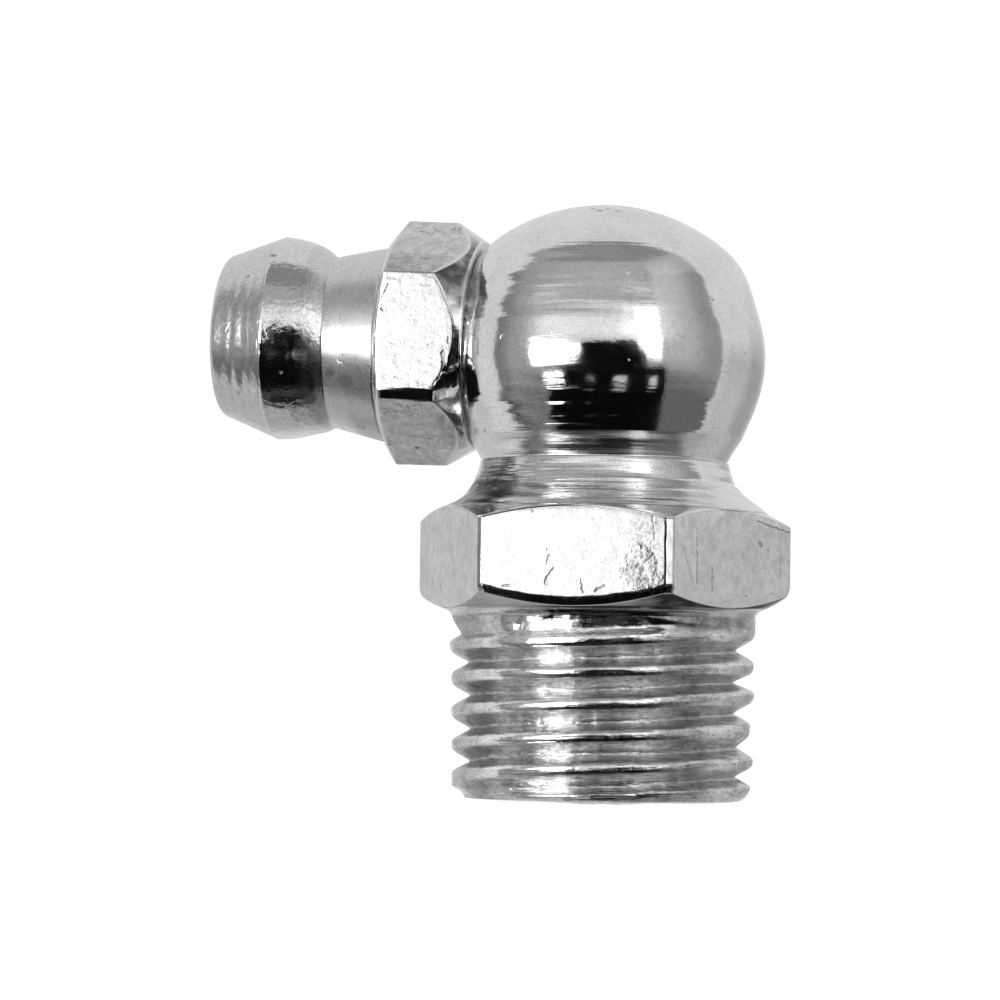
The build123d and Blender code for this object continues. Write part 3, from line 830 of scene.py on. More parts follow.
def plated_metal(name, base, rough, part):
    """Bright plated steel with turning marks along the attribute lay.
    zone.x: turning marks, zone.y: milled flats, zone.z: torn thread (body) or fine-turned blur (nipple)."""
    body_part = part == "body"
    mat = bpy.data.materials.new(name)
    mat.use_nodes = True
    tree = mat.node_tree
    tree.nodes.clear()
    N = Nodes(tree)
    out = N.new("ShaderNodeOutputMaterial")
    bsdf = N.new("ShaderNodeBsdfPrincipled")
    N.link(bsdf.outputs[0], out.inputs[0])
    bsdf.inputs["Metallic"].default_value = 1.0
    M, A, S = (lambda a, b: N.math("MULTIPLY", a, b)), (lambda a, b: N.math("ADD", a, b)), (lambda a, b: N.math("SUBTRACT", a, b))

    coord = N.new("ShaderNodeTexCoord").outputs["Object"]
    mm = N.scale(coord, (1000, 1000, 1000))
    lay = N.new("ShaderNodeAttribute", attribute_name="lay").outputs["Fac"]
    zone = N.split(N.new("ShaderNodeAttribute", attribute_name="zone").outputs["Vector"])
    groove, flat, third = zone[0], zone[1], zone[2]
    worn = N.new("ShaderNodeAttribute", attribute_name="worn").outputs["Fac"]
    x, y, z = N.split(mm)
    a, b = (x, y) if body_part else (y, z)
    # turning marks: quick along the profile, slow round it
    marks = N.noise(N.join(M(a, 0.20), M(b, 0.20), M(lay, 2.3)), 1.0, 3.0, 0.45)
    lines = N.noise(N.join(M(a, 0.15), M(b, 0.15), M(lay, 8.0)), 1.0, 3.0, 0.6)
    strength = N.noise(N.join(M(a, 0.10), M(b, 0.10), M(lay, 0.55)), 1.0, 2.0, 0.5)
    strength = N.ramp(strength, 0.34, 0.66, 0.15, 1.25)
    if body_part:
        strength = M(strength, N.math("MAXIMUM", N.ramp(x, -2.5, 3.5, 1.25, 0.30), N.ramp(z, 11.22, 11.30, 0.65, 0.0)))
        belly = N.ramp(N.math("ABSOLUTE", S(z, 14.55)), 0.85, 1.30, 0.26, 1.0)
        strength = M(M(strength, belly), N.ramp(z, 13.1, 13.7, 2.2, 1.0))
    bands = N.noise(N.join(M(a, 0.08), M(b, 0.08), M(lay, 1.15)), 1.0, 2.0, 0.5)
    turn_h = M(M(A(A(marks, M(lines, 0.20)), M(bands, 0.9 if body_part else 0.0)), strength), groove)
    nrm = N.bump(turn_h, 0.0000400 if body_part else 0.0000130)
    # plating: faint orange peel
    peel = N.noise(mm, 1.7, 3.0, 0.55)
    nrm = N.bump(peel, 0.0000060, normal=nrm)
    micro = N.noise(mm, 13.0, 3.0, 0.6)
    nrm = N.bump(micro, 0.0000007, normal=nrm)
    # shallow irregular pits
    pn = N.noise(mm, 1.55, 3.0, 0.62, 0.4)
    pit = N.ramp(pn, 0.715, 0.755)
    nrm = N.bump(M(pit, -1.0), 0.0000100, normal=nrm)
    # milled flats: handling scratches at odd angles
    sc1 = N.noise(N.join(A(M(x, 0.35), M(z, 2.2)), A(M(y, 0.35), M(z, 1.2)), A(M(z, 0.5), M(x, 3.6))), 1.6, 4.0, 0.6)
    nrm = N.bump(M(sc1, flat), 0.0000012 if body_part else 0.0000024, normal=nrm)
    if body_part:
        # torn thread flanks
        along = N.join(x, y, M(z, 2.4))
        torn = A(N.noise(along, 2.4, 5.0, 0.62, 0.5), M(N.noise(along, 9.0, 3.0, 0.6), 0.25))
        nrm = N.bump(M(torn, M(third, A(M(worn, N.ramp(x, -1.2, 0.0, 0.65, 0.15)), N.ramp(x, -1.2, 0.0, 0.35, 0.85)))), 0.000025, normal=nrm)
        # fine striations left by the thread rolls: they scatter light up and down only
        stria = N.noise(N.join(M(x, 0.5), M(y, 0.5), M(z, 9.0)), 1.0, 3.0, 0.62, 0.25)
        nrm = N.bump(M(stria, worn), 0.0000620, normal=nrm)
    # colour: cloudy plating, speckle, dark specks in the pits
    cloud = N.noise(mm, 0.8, 4.0, 0.6)
    spots = N.noise(mm, 7.0, 3.0, 0.6)
    grain = N.noise(mm, 26.0, 2.0, 0.7)
    val = A(N.ramp(cloud, 0.3, 0.7, -0.045, 0.03), N.ramp(spots, 0.25, 0.75, -0.045, 0.04))
    val = A(val, N.ramp(grain, 0.25, 0.75, -0.12, 0.12))
    blot = N.noise(N.join(x, y, M(z, 0.8)), 2.6 if body_part else 3.6, 4.0, 0.66)
    if body_part:
        # the front face is cleaner than the other five
        val = A(val, M(M(N.ramp(blot, 0.32, 0.68, -0.11, 0.06), N.ramp(y, -5.36, -5.20, 0.65, 1.0)), flat))
    else:
        val = A(val, M(M(N.ramp(blot, 0.32, 0.68, -0.16, 0.05), N.ramp(y, -3.52, -3.40, 0.5, 1.0)), flat))
    val = A(val, base)
    # short dark dashes, drawn out round the axis
    dash = N.noise(N.join(M(x, 1.0 if body_part else 4.2), y, M(z, 4.5 if body_part else 1.0)), 2.6, 4.0, 0.70)
    some = N.ramp(N.noise(mm, 0.55, 2.0, 0.5), 0.44, 0.58, 0.25, 1.0)
    round_part = N.math("MINIMUM", groove, 1.0)
    val = M(val, S(1.0, M(M(M(N.ramp(dash, 0.585, 0.68), some), round_part), 0.26)))
    val = S(val, M(pit, 0.30))
    if body_part:
        patch = N.noise(N.join(M(x, 1.0), M(y, 1.0), M(z, 2.5)), 1.9, 4.0, 0.65, 0.6)
        wear_and_highlight = N.ramp(patch, 0.34, 0.60, 0.72, 1.06)
        fleck = N.ramp(N.noise(N.join(M(x, 0.8), M(y, 0.8), M(z, 5.0)), 3.6, 4.0, 0.7), 0.56, 0.68, 1.0, 0.50)
        # painted highlight: a lighter band down the thread, left of the middle (x about -3 to 0 mm)
        painted_flank_light = M(M(N.ramp(x, -3.1, -2.6), N.ramp(x, -0.6, -0.1, 1.0, 0.0)), third)
        wear_and_highlight = N.math("MINIMUM", A(wear_and_highlight, M(painted_flank_light, 0.10)), 1.12)
        val = M(val, A(S(1.0, third), M(M(wear_and_highlight, fleck), third)))
        # painted shade: the thread flanks darker towards both sides, most on the left, and the whole thread darker at
        # its far left
        val = M(val, S(1.0, M(worn, A(N.ramp(N.math("ABSOLUTE", x), 2.4, 3.6, 0.08, 0.22), N.ramp(x, -3.3, -2.6, 0.15, 0.0)))))
        val = M(val, S(1.0, M(third, N.ramp(x, -3.4, -2.6, 0.15, 0.0))))
        # painted highlight: crests lighter round x = -1 mm, fading out towards the sides
        crest = M(M(third, S(1.0, worn)), N.ramp(N.math("ABSOLUTE", A(x, 1.0)), 2.2, 3.2, 0.16, 0.0))
        val = A(val, crest)
    else:
        val = M(val, N.ramp(M(third, N.noise(N.join(M(x, 3.0), y, z), 1.4, 3.0, 0.6)), 0.30, 0.62, 1.0, 0.90))
        rub = N.noise(N.join(A(M(x, 0.5), M(z, 1.0)), A(M(y, 0.8), M(z, 0.4)), S(M(z, 1.6), M(x, 1.5))), 2.6, 4.0, 0.65)
        val = M(val, A(S(1.0, flat), M(flat, N.ramp(rub, 0.30, 0.62, 0.89, 0.95))))
        # thin dark lines wandering over the plating
        vein = N.noise(N.join(A(x, M(z, 0.5)), y, M(z, 1.3)), 0.75, 4.0, 0.68, 0.5)
        vein = N.ramp(N.math("ABSOLUTE", S(vein, 0.53)), 0.004, 0.014, 1.0, 0.0)
        rim = N.math("MINIMUM", A(flat, M(worn, 0.35)), 1.0)
        val = M(val, S(1.0, M(M(vein, rim), N.ramp(cloud, 0.40, 0.58, 0.0, 0.42))))
        # hammered look of the head
        nrm2 = N.bump(M(N.noise(mm, 4.2, 3.0, 0.55), worn), 0.0000200, normal=nrm)
        nrm = nrm2
    val = S(val, M(flat, 0.03))
    # single scratches, cracks and dents on the flats
    def spot_plane(ang, dist):
        """In-plane coordinates on the hexagon face whose normal stands at ang, and a mask for it."""
        c, sn = math.cos(math.radians(ang)), math.sin(math.radians(ang))
        if body_part:
            t = A(M(x, -sn), M(y, c))
            d = A(M(x, c), M(y, sn))
            return N.join(t, z, 0.0), N.ramp(d, dist - 0.09, dist - 0.03)
        zc = S(z, 15.03)
        up = A(M(x, math.sin(RISE)), M(zc, math.cos(RISE)))
        along = A(M(x, -math.cos(RISE)), M(zc, math.sin(RISE)))
        front = M(y, -1.0)
        t = A(M(up, -sn), M(front, c))
        d = A(M(up, c), M(front, sn))
        return N.join(t, along, 0.0), N.ramp(d, dist - 0.09, dist - 0.03)

    cuts = None
    wob = N.new("ShaderNodeTexNoise")
    N.link(mm, wob.inputs["Vector"])
    wob.inputs["Scale"].default_value = 5.0
    for ang, dist, strokes in SCRATCHES[part]:
        pos, face_mask = spot_plane(ang, dist)
        jig = N.new("ShaderNodeVectorMath", operation="MULTIPLY_ADD")
        N.link(wob.outputs["Color"], jig.inputs[0])
        jig.inputs[1].default_value = (0.15, 0.15, 0.0)
        N.link(pos, jig.inputs[2])
        total = None
        for t0, z0, t1, z1, w, deep in strokes:
            dx, dz = t1 - t0, z1 - z0
            ln = max(math.hypot(dx, dz), 1e-4)
            rel = N.new("ShaderNodeVectorMath", operation="SUBTRACT")
            N.link(jig.outputs[0], rel.inputs[0])
            rel.inputs[1].default_value = (t0 + 0.075, z0 + 0.075, 0.0)
            dot = N.new("ShaderNodeVectorMath", operation="DOT_PRODUCT")
            N.link(rel.outputs[0], dot.inputs[0])
            dot.inputs[1].default_value = (dx / ln, dz / ln, 0.0)
            run = N.math("MINIMUM", N.math("MAXIMUM", dot.outputs["Value"], 0.0), ln)
            foot = N.new("ShaderNodeVectorMath", operation="SCALE")
            foot.inputs[0].default_value = (dx / ln, dz / ln, 0.0)
            N.link(run, foot.inputs["Scale"])
            dd = N.new("ShaderNodeVectorMath", operation="DISTANCE")
            N.link(rel.outputs[0], dd.inputs[0])
            N.link(foot.outputs[0], dd.inputs[1])
            line = M(N.ramp(dd.outputs["Value"], w * 0.35, w, 1.0, 0.0), deep)
            total = line if total is None else N.math("MAXIMUM", total, line)
        total = M(total, face_mask)
        cuts = total if cuts is None else N.math("MAXIMUM", cuts, total)
    nrm = N.bump(M(cuts, -1.0), 0.0000160, normal=nrm)
    val = M(val, S(1.0, M(cuts, 0.75)))
    # specks and small dents elsewhere
    jig = N.new("ShaderNodeVectorMath", operation="MULTIPLY_ADD")
    N.link(wob.outputs["Color"], jig.inputs[0])
    jig.inputs[1].default_value = (0.22, 0.22, 0.22)
    N.link(mm, jig.inputs[2])
    specks = None
    for px, py, pz, w, deep in SPECKS[part]:
        dd = N.new("ShaderNodeVectorMath", operation="DISTANCE")
        N.link(jig.outputs[0], dd.inputs[0])
        dd.inputs[1].default_value = (px + 0.11, py + 0.11, pz + 0.11)
        spot = M(N.ramp(dd.outputs["Value"], w * 0.45, w, 1.0, 0.0), deep)
        specks = spot if specks is None else N.math("MAXIMUM", specks, spot)
    nrm = N.bump(M(specks, -1.0), 0.0000120, normal=nrm)
    val = M(val, S(1.0, M(specks, 0.6)))
    if body_part:
        # a field of small pits low on the right of the front face
        pos, face_mask = spot_plane(270, 5.44)
        px, pz, _ = N.split(pos)
        ex, ez = M(S(px, 2.15), 1.25), M(S(pz, 7.42), 1.05)
        rough_edge = N.ramp(N.noise(N.join(px, 0.0, pz), 1.6, 3.0, 0.6), 0.3, 0.7, -0.45, 0.45)
        field = N.ramp(A(A(M(ex, ex), M(ez, ez)), rough_edge), 0.15, 1.0, 1.0, 0.0)
        above = M(M(N.ramp(px, 1.5, 1.9), N.ramp(px, 2.5, 2.9, 1.0, 0.0)), M(N.ramp(pz, 8.0, 8.4), N.ramp(pz, 9.0, 9.3, 1.0, 0.0)))
        field = A(field, M(above, 0.4))
        pitting = N.noise(N.join(px, 0.0, pz), 5.0, 3.0, 0.6, 0.2)
        nrm = N.bump(M(M(pitting, field), face_mask), 0.0000105, normal=nrm)
        val = M(val, S(1.0, M(M(M(N.ramp(pitting, 0.50, 0.62), field), face_mask), 0.42)))
        soot = N.ramp(N.noise(N.join(px, 0.0, pz), 2.6, 2.0, 0.5), 0.42, 0.62)
        val = M(val, S(1.0, M(M(M(soot, field), face_mask), 0.38)))
    N.link(nrm, bsdf.inputs["Normal"])
    # painted shade: the colour is darkened, and the roughness raised a little, by the per-vertex shade weights, broken
    # up by noise
    shade_patch = N.noise(N.join(A(x, M(y, 0.3)), y, M(z, 1.6)), 1.3, 4.0, 0.62, 0.3)
    grime = N.new("ShaderNodeAttribute", attribute_name="grime").outputs["Fac"]
    dull_and_shade = M(grime, N.ramp(shade_patch, 0.30, 0.62, 0.45, 1.0))
    val = M(val, S(1.0, M(dull_and_shade, 0.62)))
    N.link(N.join(val, val, val), bsdf.inputs["Base Color"])
    rr = A(N.ramp(cloud, 0.35, 0.7, -0.02, 0.035), rough)
    rr = A(rr, M(third, 0.03 if body_part else 0.07))
    if body_part:
        rr = A(rr, M(worn, 0.10))
    rr = A(rr, M(flat, 0.05))
    if body_part:
        rr = A(rr, M(M(N.ramp(z, 11.24, 11.30), N.ramp(z, 12.02, 12.14, 1.0, 0.0)), 0.11))
        rr = A(rr, M(M(worn, N.ramp(z, 6.15, 6.35)), 0.72))
    rr = A(rr, M(dull_and_shade, 0.10))
    N.link(rr, bsdf.inputs["Roughness"])
    return mat


def ground_steel(name):
    """A lapped bearing ball: near mirror, fine crossed polishing lines and a few specks."""
    mat = bpy.data.materials.new(name)
    mat.use_nodes = True
    tree = mat.node_tree
    tree.nodes.clear()
    N = Nodes(tree)
    out = N.new("ShaderNodeOutputMaterial")
    bsdf = N.new("ShaderNodeBsdfPrincipled")
    N.link(bsdf.outputs[0], out.inputs[0])
    bsdf.inputs["Metallic"].default_value = 1.0
    M, A, S = (lambda a, b: N.math("MULTIPLY", a, b)), (lambda a, b: N.math("ADD", a, b)), (lambda a, b: N.math("SUBTRACT", a, b))
    coord = N.new("ShaderNodeTexCoord").outputs["Object"]
    mm = N.scale(coord, (1000, 1000, 1000))
    x, y, z = N.split(mm)
    laps = N.noise(N.join(M(x, 2.0), A(M(y, 14.0), M(z, 5.0)), S(M(z, 16.0), M(y, 4.0))), 1.0, 3.0, 0.6, 0.4)
    laps2 = N.noise(N.join(M(x, 2.0), A(M(y, 4.0), M(z, 15.0)), S(M(y, 14.0), M(z, 3.0))), 1.3, 3.0, 0.6, 0.4)
    nrm = N.bump(A(laps, laps2), 0.0000012)
    pits = N.ramp(N.noise(mm, 4.5, 3.0, 0.62, 0.3), 0.69, 0.74)
    nrm = N.bump(M(pits, -1.0), 0.0000060, normal=nrm)
    nrm = N.bump(N.noise(mm, 30.0, 2.0, 0.6), 0.0000003, normal=nrm)
    N.link(nrm, bsdf.inputs["Normal"])
    cloud = N.noise(mm, 1.6, 4.0, 0.6)
    val = A(N.ramp(cloud, 0.3, 0.7, -0.05, 0.03), 0.74)
    val = A(val, N.ramp(N.noise(mm, 40.0, 2.0, 0.7), 0.25, 0.75, -0.05, 0.05))
    val = S(val, M(pits, 0.25))
    N.link(N.join(val, val, val), bsdf.inputs["Base Color"])
    N.link(A(N.ramp(cloud, 0.35, 0.7, 0.06, 0.13), M(pits, 0.15)), bsdf.inputs["Roughness"])
    return mat


def drawn_wire(name):
    """Drawn spring wire: die lines along the wire, duller patches and small nicks."""
    mat = bpy.data.materials.new(name)
    mat.use_nodes = True
    tree = mat.node_tree
    tree.nodes.clear()
    N = Nodes(tree)
    out = N.new("ShaderNodeOutputMaterial")
    bsdf = N.new("ShaderNodeBsdfPrincipled")
    N.link(bsdf.outputs[0], out.inputs[0])
    bsdf.inputs["Metallic"].default_value = 1.0
    M, A, S = (lambda a, b: N.math("MULTIPLY", a, b)), (lambda a, b: N.math("ADD", a, b)), (lambda a, b: N.math("SUBTRACT", a, b))
    coord = N.new("ShaderNodeTexCoord").outputs["Object"]
    mm = N.scale(coord, (1000, 1000, 1000))
    wire = N.split(N.new("ShaderNodeAttribute", attribute_name="wire").outputs["Vector"])
    die = N.noise(N.join(M(wire[0], 0.5), M(wire[1], 9.0), M(wire[2], 9.0)), 1.0, 4.0, 0.65)
    nrm = N.bump(die, 0.0000040)
    nicks = N.ramp(N.noise(mm, 6.0, 3.0, 0.62, 0.4), 0.66, 0.72)
    nrm = N.bump(M(nicks, -1.0), 0.0000080, normal=nrm)
    N.link(nrm, bsdf.inputs["Normal"])
    cloud = N.noise(mm, 1.4, 4.0, 0.65)
    val = A(N.ramp(cloud, 0.3, 0.7, -0.14, 0.08), 0.58)
    val = A(val, N.ramp(die, 0.3, 0.7, -0.08, 0.08))
    val = S(val, M(nicks, 0.2))
    N.link(N.join(val, val, val), bsdf.inputs["Base Color"])
    N.link(A(N.ramp(cloud, 0.3, 0.7, 0.34, 0.20), M(nicks, 0.1)), bsdf.inputs["Roughness"])
    return mat


def build_spring():
    """Closed and ground compression spring: its last turns lie close, the ends are cut flat."""
    u0, u1, mean, wire, turns = 1.78, 10.4184, 0.98, 0.15, 8
    n, m = turns * 44 + 1, 14
    t = np.linspace(0, 1, n)
    # pitch closes up over the first and last turn
    pace = smooth(0.0, 0.16, t) * (1 - smooth(0.84, 1.0, t)) * 0.86 + 0.14
    u = np.concatenate([[0], np.cumsum(0.5 * (pace[1:] + pace[:-1]))])
    lo, hi = u0 + 0.02, u1 - 0.02
    u = lo + (hi - lo) * u / u[-1]
    phi = TAU * turns * t
    centre = HUB + ALONG * u[:, None] + ACROSS * (mean * np.cos(phi))[:, None] + FRONT * (mean * np.sin(phi))[:, None]
    tangent = np.gradient(centre, axis=0)
    tangent /= np.linalg.norm(tangent, axis=1)[:, None]
    radial = ACROSS * np.cos(phi)[:, None] + FRONT * np.sin(phi)[:, None]
    side = np.cross(tangent, radial)
    side /= np.linalg.norm(side, axis=1)[:, None]
    q = np.arange(m) / m * TAU
    grow = 1.0 + 0.012 * noise1(np.linspace(0, 90, n), 71)
    w = wire * 0.985 * np.minimum(1.0, grow)
    pts = centre[:, None, :] + w[:, None, None] * (radial[:, None, :] * np.cos(q)[None, :, None] + side[:, None, :] * np.sin(q)[None, :, None])
    # ground ends: nothing beyond the seat planes
    along = (pts - HUB) @ ALONG
    flat_lo, flat_hi = u0 - wire * 0.55, u1 + wire * 0.62
    pts = pts + ALONG * (np.clip(along, flat_lo, flat_hi) - along)[..., None]
    verts = pts.reshape(-1, 3)
    cap0, cap1 = pts[0].mean(0), pts[-1].mean(0)
    verts = np.concatenate([verts, [cap0, cap1]]) * MM
    faces = []
    for i in range(n - 1):
        for k in range(m):
            k2 = (k + 1) % m
            faces.append((i * m + k, i * m + k2, (i + 1) * m + k2, (i + 1) * m + k))
    c0, c1 = n * m, n * m + 1
    last = (n - 1) * m
    for k in range(m):
        k2 = (k + 1) % m
        faces.append((c0, k2, k))
        faces.append((c1, last + k, last + k2))
    me = bpy.data.meshes.new("check_spring_wire")
    me.from_pydata([tuple(v) for v in verts], [], faces)
    me.update()
    # outward normals
    import bmesh

    bm = bmesh.new()
    bm.from_mesh(me)
    bmesh.ops.recalc_face_normals(bm, faces=bm.faces)
    bm.to_mesh(me)
    bm.free()
    at = me.attributes.new("wire", "FLOAT_VECTOR", "POINT")
    length = np.concatenate([[0], np.cumsum(np.linalg.norm(np.diff(centre, axis=0), axis=1))])
    vec = np.zeros((n, m, 3))
    vec[:, :, 0] = length[:, None]
    vec[:, :, 1] = np.cos(q)[None, :]
    vec[:, :, 2] = np.sin(q)[None, :]
    vec = np.concatenate([vec.reshape(-1, 3), [[0, 0, 0], [length[-1], 0, 0]]])
    at.data.foreach_set("vector", vec.astype(np.float32).ravel())
    me.shade_smooth()
    ob = bpy.data.objects.new("check_spring_wire", me)
    bpy.context.scene.collection.objects.link(ob)
    return ob


# =====================================================================
# studio
# =====================================================================


def patch(az, el, a0, a1, e0, e1, sa=2.0, se=2.0):
    return (
        smooth(a0 - sa, a0 + sa, az) * (1 - smooth(a1 - sa, a1 + sa, az))
        * smooth(e0 - se, e0 + se, el) * (1 - smooth(e1 - se, e1 + se, el))
    )


def studio_light(az, el):
    """Brightness of the studio seen from the object. az from the front (-Y) towards +X, el above the horizon, degrees."""
    a, e = np.radians(az), np.radians(el)
    dx, dy, dz = np.sin(a) * np.cos(e), -np.cos(a) * np.cos(e), np.sin(e)
    toward = np.cos(e) * np.cos(a - math.radians(12.5))  # 1 at the camera's side, -1 behind
    tent = 0.76 + 0 * az
    tent = tent - 0.20 * smooth(95, 115, az) * smooth(12, 0, el)
    tent = tent - 0.16 * patch(az, el, 138, 168, -20, 14, 8, 6)
    tent = tent - 0.12 * patch(az, el, -152, -100, -40, 14, 8, 6)
    tent = tent - 0.30 * smooth(-25, -60, el)
    room = 0.29 + 0 * az
    room = room + (0.17 - 0.06 * smooth(-20, -70, az)) * patch(az, el, -140, 140, 40, 57, 10, 3)
    room = room + 0.04 * patch(az, el, -140, 140, -90, 40, 10, 3) - 0.10 * smooth(-60, -74, az) * smooth(45, 20, el)
    room = room + 0.06 * patch(az, el, -64, -44, -24, 40, 4, 8)
    room = room + 0.21 * smooth(48, 56, az) * patch(az, el, 40, 140, -8, 52, 5, 8) * (1 - smooth(70, 94, az))
    room = room - 0.07 * smooth(-38, -50, el) * smooth(25, 40, az)
    room = room - 0.13 * smooth(-8, -22, el) - 0.05 * smooth(-8, -22, el) * smooth(40, 60, az)
    # glow of the two softboxes on the ceiling cloth
    room = room + 0.42 * patch(az, el, -46, 60, 11, 36, 14, 8) + 0.25 * patch(az, el, -44, 45, 8, 27, 10, 7)
    # softboxes
    left = patch(az, el, -60, -6.3, -8.0, 9.0, 1.2, 1.3) * smooth(-47, -40, az)
    left = left * (1 - smooth(-14.5 + 0.36 * (el + 18), -12.5 + 0.36 * (el + 18), az) * smooth(6, 0, el))
    left = np.maximum(left, patch(az, el, -36, -22, -20.8, -17.2, 1.5, 0.8) * 0.5)
    lean = 6.5 * smooth(9, -5, el)
    right = patch(az, el, -90, 51, -6.0, 31, 1.2, 4.0) * smooth(31.3 + lean, 33.7 + lean, az)
    room = room + 0.36 * patch(az, el, 22, 50, 12, 35, 8, 6)
    room = room * (1 - left) + (1.56 + 7.6 * smooth(-17, -20, az)) * left
    room = room * (1 - right) + 1.9 * right
    # camera, stand and the dark near part of the table
    black = patch(az - lean * smooth(5, 25, az), el, -7.0, 33, -18, 9.0, 0.8, 0.8)
    black = np.maximum(black, (1 - left) * patch(az, el, -26, 0, -18, 2, 0.8, 0.8) * smooth(-14.5 + 0.36 * (el + 18), -12.5 + 0.36 * (el + 18), az))
    fx, fy = dx / np.maximum(-dz, 1e-3), dy / np.maximum(-dz, 1e-3)  # on the table plane
    near = smooth(0.10, 0.02, fy) * smooth(-0.23 + 0.64 * fy, -0.12 + 0.64 * fy, fx)
    near = near * smooth(0.36 - 1.30 * fy, 0.28 - 1.30 * fy, fx) * smooth(-9.0, -12.0, el)
    keep = np.maximum(patch(az, el, -47, -24, -7.5, 30, 1.0, 0.6), patch(az, el, -36, -22, -20.8, -17.2, 1.5, 0.8))
    black = np.maximum(black, near * (1 - keep))
    black = np.maximum(black, patch(az, el, -15, 45, -30, -15, 2.0, 1.5))
    dark = 0.003 + 0.060 * patch(az, el, -60, 70, -73, -64, 6, 2)
    room = room * (1 - black) + dark * black
    spots = patch(az, el, 17, 26, -23.5, -21.0, 1.5, 1.1) * 0.95 + patch(az, el, 44, 50, -22.4, -19.2, 1.0, 1.0) * 0.8
    spots = spots + patch(az, el, -4, 1.5, -23.2, -21.0, 1.0, 1.0) * 0.25
    room = room + spots
    side = smooth(-0.03, 0.03, toward) * (1 - smooth(-0.9, -0.99, dz) * smooth(0.05, 0.0, toward))
    return np.maximum(tent * (1 - side) + room * side, 0.0)


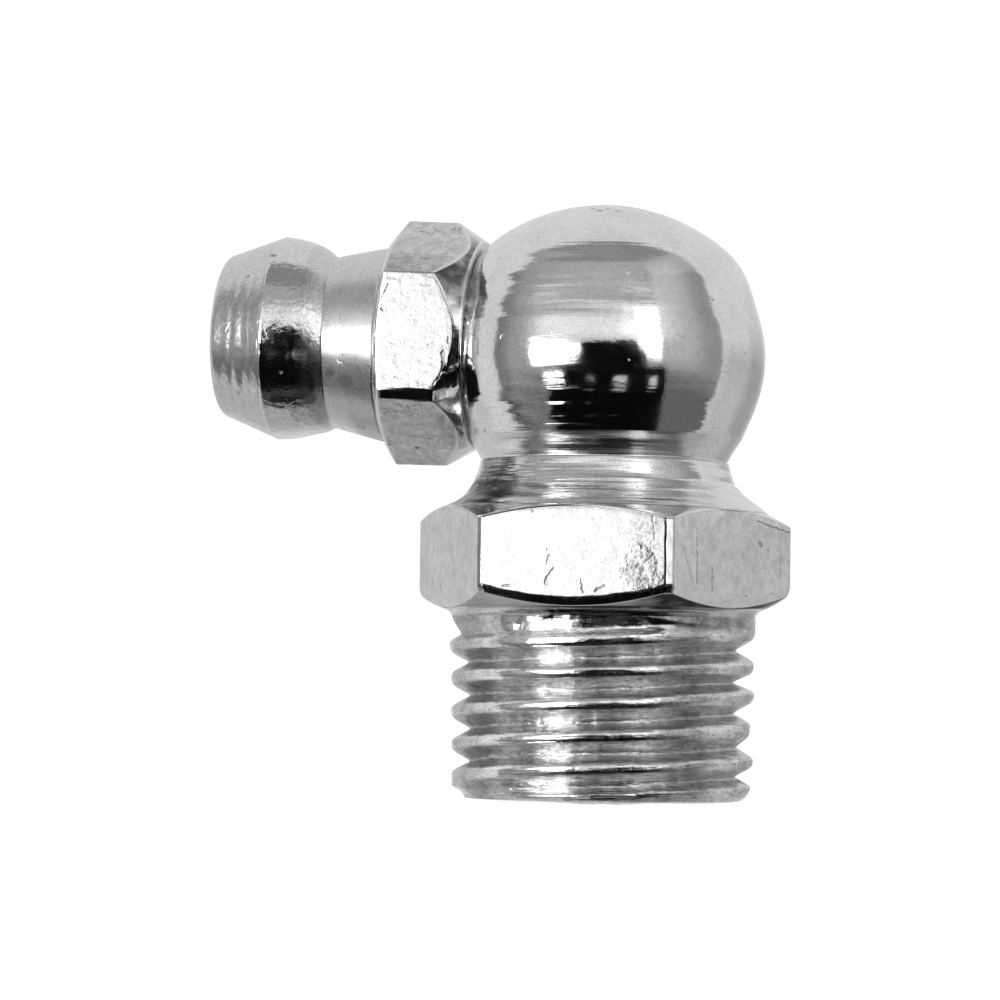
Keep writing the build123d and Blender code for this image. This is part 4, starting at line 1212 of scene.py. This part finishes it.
def build_studio():
    n_az, n_el = 360, 160
    az = np.linspace(-180, 180, n_az, endpoint=False)
    el = np.linspace(-88.5, 88.5, n_el)
    A, E = np.meshgrid(az, el)
    light = studio_light(A, E)
    a, e = np.radians(A), np.radians(E)
    pts = np.stack([np.sin(a) * np.cos(e), -np.cos(a) * np.cos(e), np.sin(e)], -1) * 1.2
    verts = np.concatenate([pts.reshape(-1, 3), [[0, 0, -1.2], [0, 0, 1.2]]])
    vals = np.concatenate([light.ravel(), [light[0].mean(), light[-1].mean()]])
    i = np.arange(n_az)
    j = (i + 1) % n_az
    faces = []
    for k in range(n_el - 1):
        for p, q in zip(i, j):
            faces.append((k * n_az + p, k * n_az + q, (k + 1) * n_az + q, (k + 1) * n_az + p))
    s, t = len(verts) - 2, len(verts) - 1
    faces += [(s, q, p) for p, q in zip(i, j)]
    faces += [(t, (n_el - 1) * n_az + p, (n_el - 1) * n_az + q) for p, q in zip(i, j)]
    me = bpy.data.meshes.new("studio_dome")
    me.from_pydata([tuple(v) for v in verts], [], faces)
    me.update()
    at = me.attributes.new("light", "FLOAT", "POINT")
    at.data.foreach_set("value", vals.astype(np.float32))
    dome = bpy.data.objects.new("studio_dome", me)
    bpy.context.scene.collection.objects.link(dome)
    mat = bpy.data.materials.new("studio_cloth")
    mat.use_nodes = True
    tree = mat.node_tree
    tree.nodes.clear()
    N = Nodes(tree)
    out = N.new("ShaderNodeOutputMaterial")
    em = N.new("ShaderNodeEmission")
    v = N.new("ShaderNodeAttribute", attribute_name="light").outputs["Fac"]
    N.link(v, em.inputs["Strength"])
    N.link(em.outputs[0], out.inputs[0])
    mat.cycles.emission_sampling = "NONE"
    me.materials.append(mat)
    dome.visible_camera = False
    dome.visible_shadow = False
    # pale floor
    fm = bpy.data.meshes.new("floor")
    k = 96
    ring = [(1.1 * math.cos(t * TAU / k), 1.1 * math.sin(t * TAU / k), 0.0) for t in range(k)]
    fm.from_pydata(ring, [], [tuple(range(k))])
    fm.update()
    floor = bpy.data.objects.new("floor", fm)
    bpy.context.scene.collection.objects.link(floor)
    mat = bpy.data.materials.new("pale_floor")
    mat.use_nodes = True
    tree = mat.node_tree
    tree.nodes.clear()
    N = Nodes(tree)
    out = N.new("ShaderNodeOutputMaterial")
    em = N.new("ShaderNodeEmission")
    em.inputs["Strength"].default_value = 0.92
    df = N.new("ShaderNodeBsdfDiffuse")
    df.inputs["Color"].default_value = (0.40, 0.40, 0.40, 1)
    add = N.new("ShaderNodeAddShader")
    N.link(em.outputs[0], add.inputs[0])
    N.link(df.outputs[0], add.inputs[1])
    N.link(add.outputs[0], out.inputs[0])
    mat.cycles.emission_sampling = "NONE"
    fm.materials.append(mat)
    floor.visible_glossy = False
    floor.visible_diffuse = False
    floor.visible_shadow = False
    world = bpy.data.worlds.new("studio")
    bpy.context.scene.world = world
    world.use_nodes = True
    bg = world.node_tree.nodes.get("Background")
    bg.inputs["Color"].default_value = (1, 1, 1, 1)
    bg.inputs["Strength"].default_value = 1.02


def build_camera():
    cy, sy, cp, sp = math.cos(YAW), math.sin(YAW), math.cos(PITCH), math.sin(PITCH)
    cr, sr = math.cos(ROLL), math.sin(ROLL)
    f = np.array([-sy * cp, cy * cp, sp])
    r = np.array([cy, sy, 0.0])
    u = np.cross(r, f)
    r2, u2 = cr * r + sr * u, -sr * r + cr * u
    eye = np.array([CAM_D * math.sin(PSI), -CAM_D * math.cos(PSI), CAM_H]) * MM
    cam = bpy.data.cameras.new("camera")
    cam.sensor_width = 36.0
    cam.sensor_fit = "HORIZONTAL"
    cam.lens = FOCAL * 36.0 / 1000.0
    cam.clip_start, cam.clip_end = 0.002, 10.0
    ob = bpy.data.objects.new("camera", cam)
    bpy.context.scene.collection.objects.link(ob)
    m = Matrix.Identity(4)
    for i in range(3):
        m[i][0], m[i][1], m[i][2], m[i][3] = r2[i], u2[i], -f[i], eye[i]
    ob.matrix_world = m
    bpy.context.scene.camera = ob


# =====================================================================
# put it together
# =====================================================================
body = build_body()
body.data.materials.clear()
body.data.materials.append(plated_metal("body_plate", 0.78, 0.09, "body"))
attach(body, "fitting")
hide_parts("angle_body")

nipple = build_nipple()
nipple.data.materials.append(plated_metal("nipple_plate", 0.755, 0.10, "nipple"))
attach(nipple, "fitting")
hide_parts("side_nipple")

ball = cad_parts["check_ball"]
ball.data.materials.clear()
ball.data.materials.append(ground_steel("ball_steel"))

spring = build_spring()
spring.data.materials.append(drawn_wire("spring_steel"))
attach(spring, "fitting")
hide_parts("check_spring")
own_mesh(spring)

build_studio()
build_camera()

scene = bpy.context.scene
scene.view_settings.view_transform = "Standard"
scene.view_settings.look = "None"

tris = {}
for ob in (body, nipple, spring):
    ob.data.calc_loop_triangles()
    tris[ob.name] = len(ob.data.loop_triangles)
print("triangles", tris)
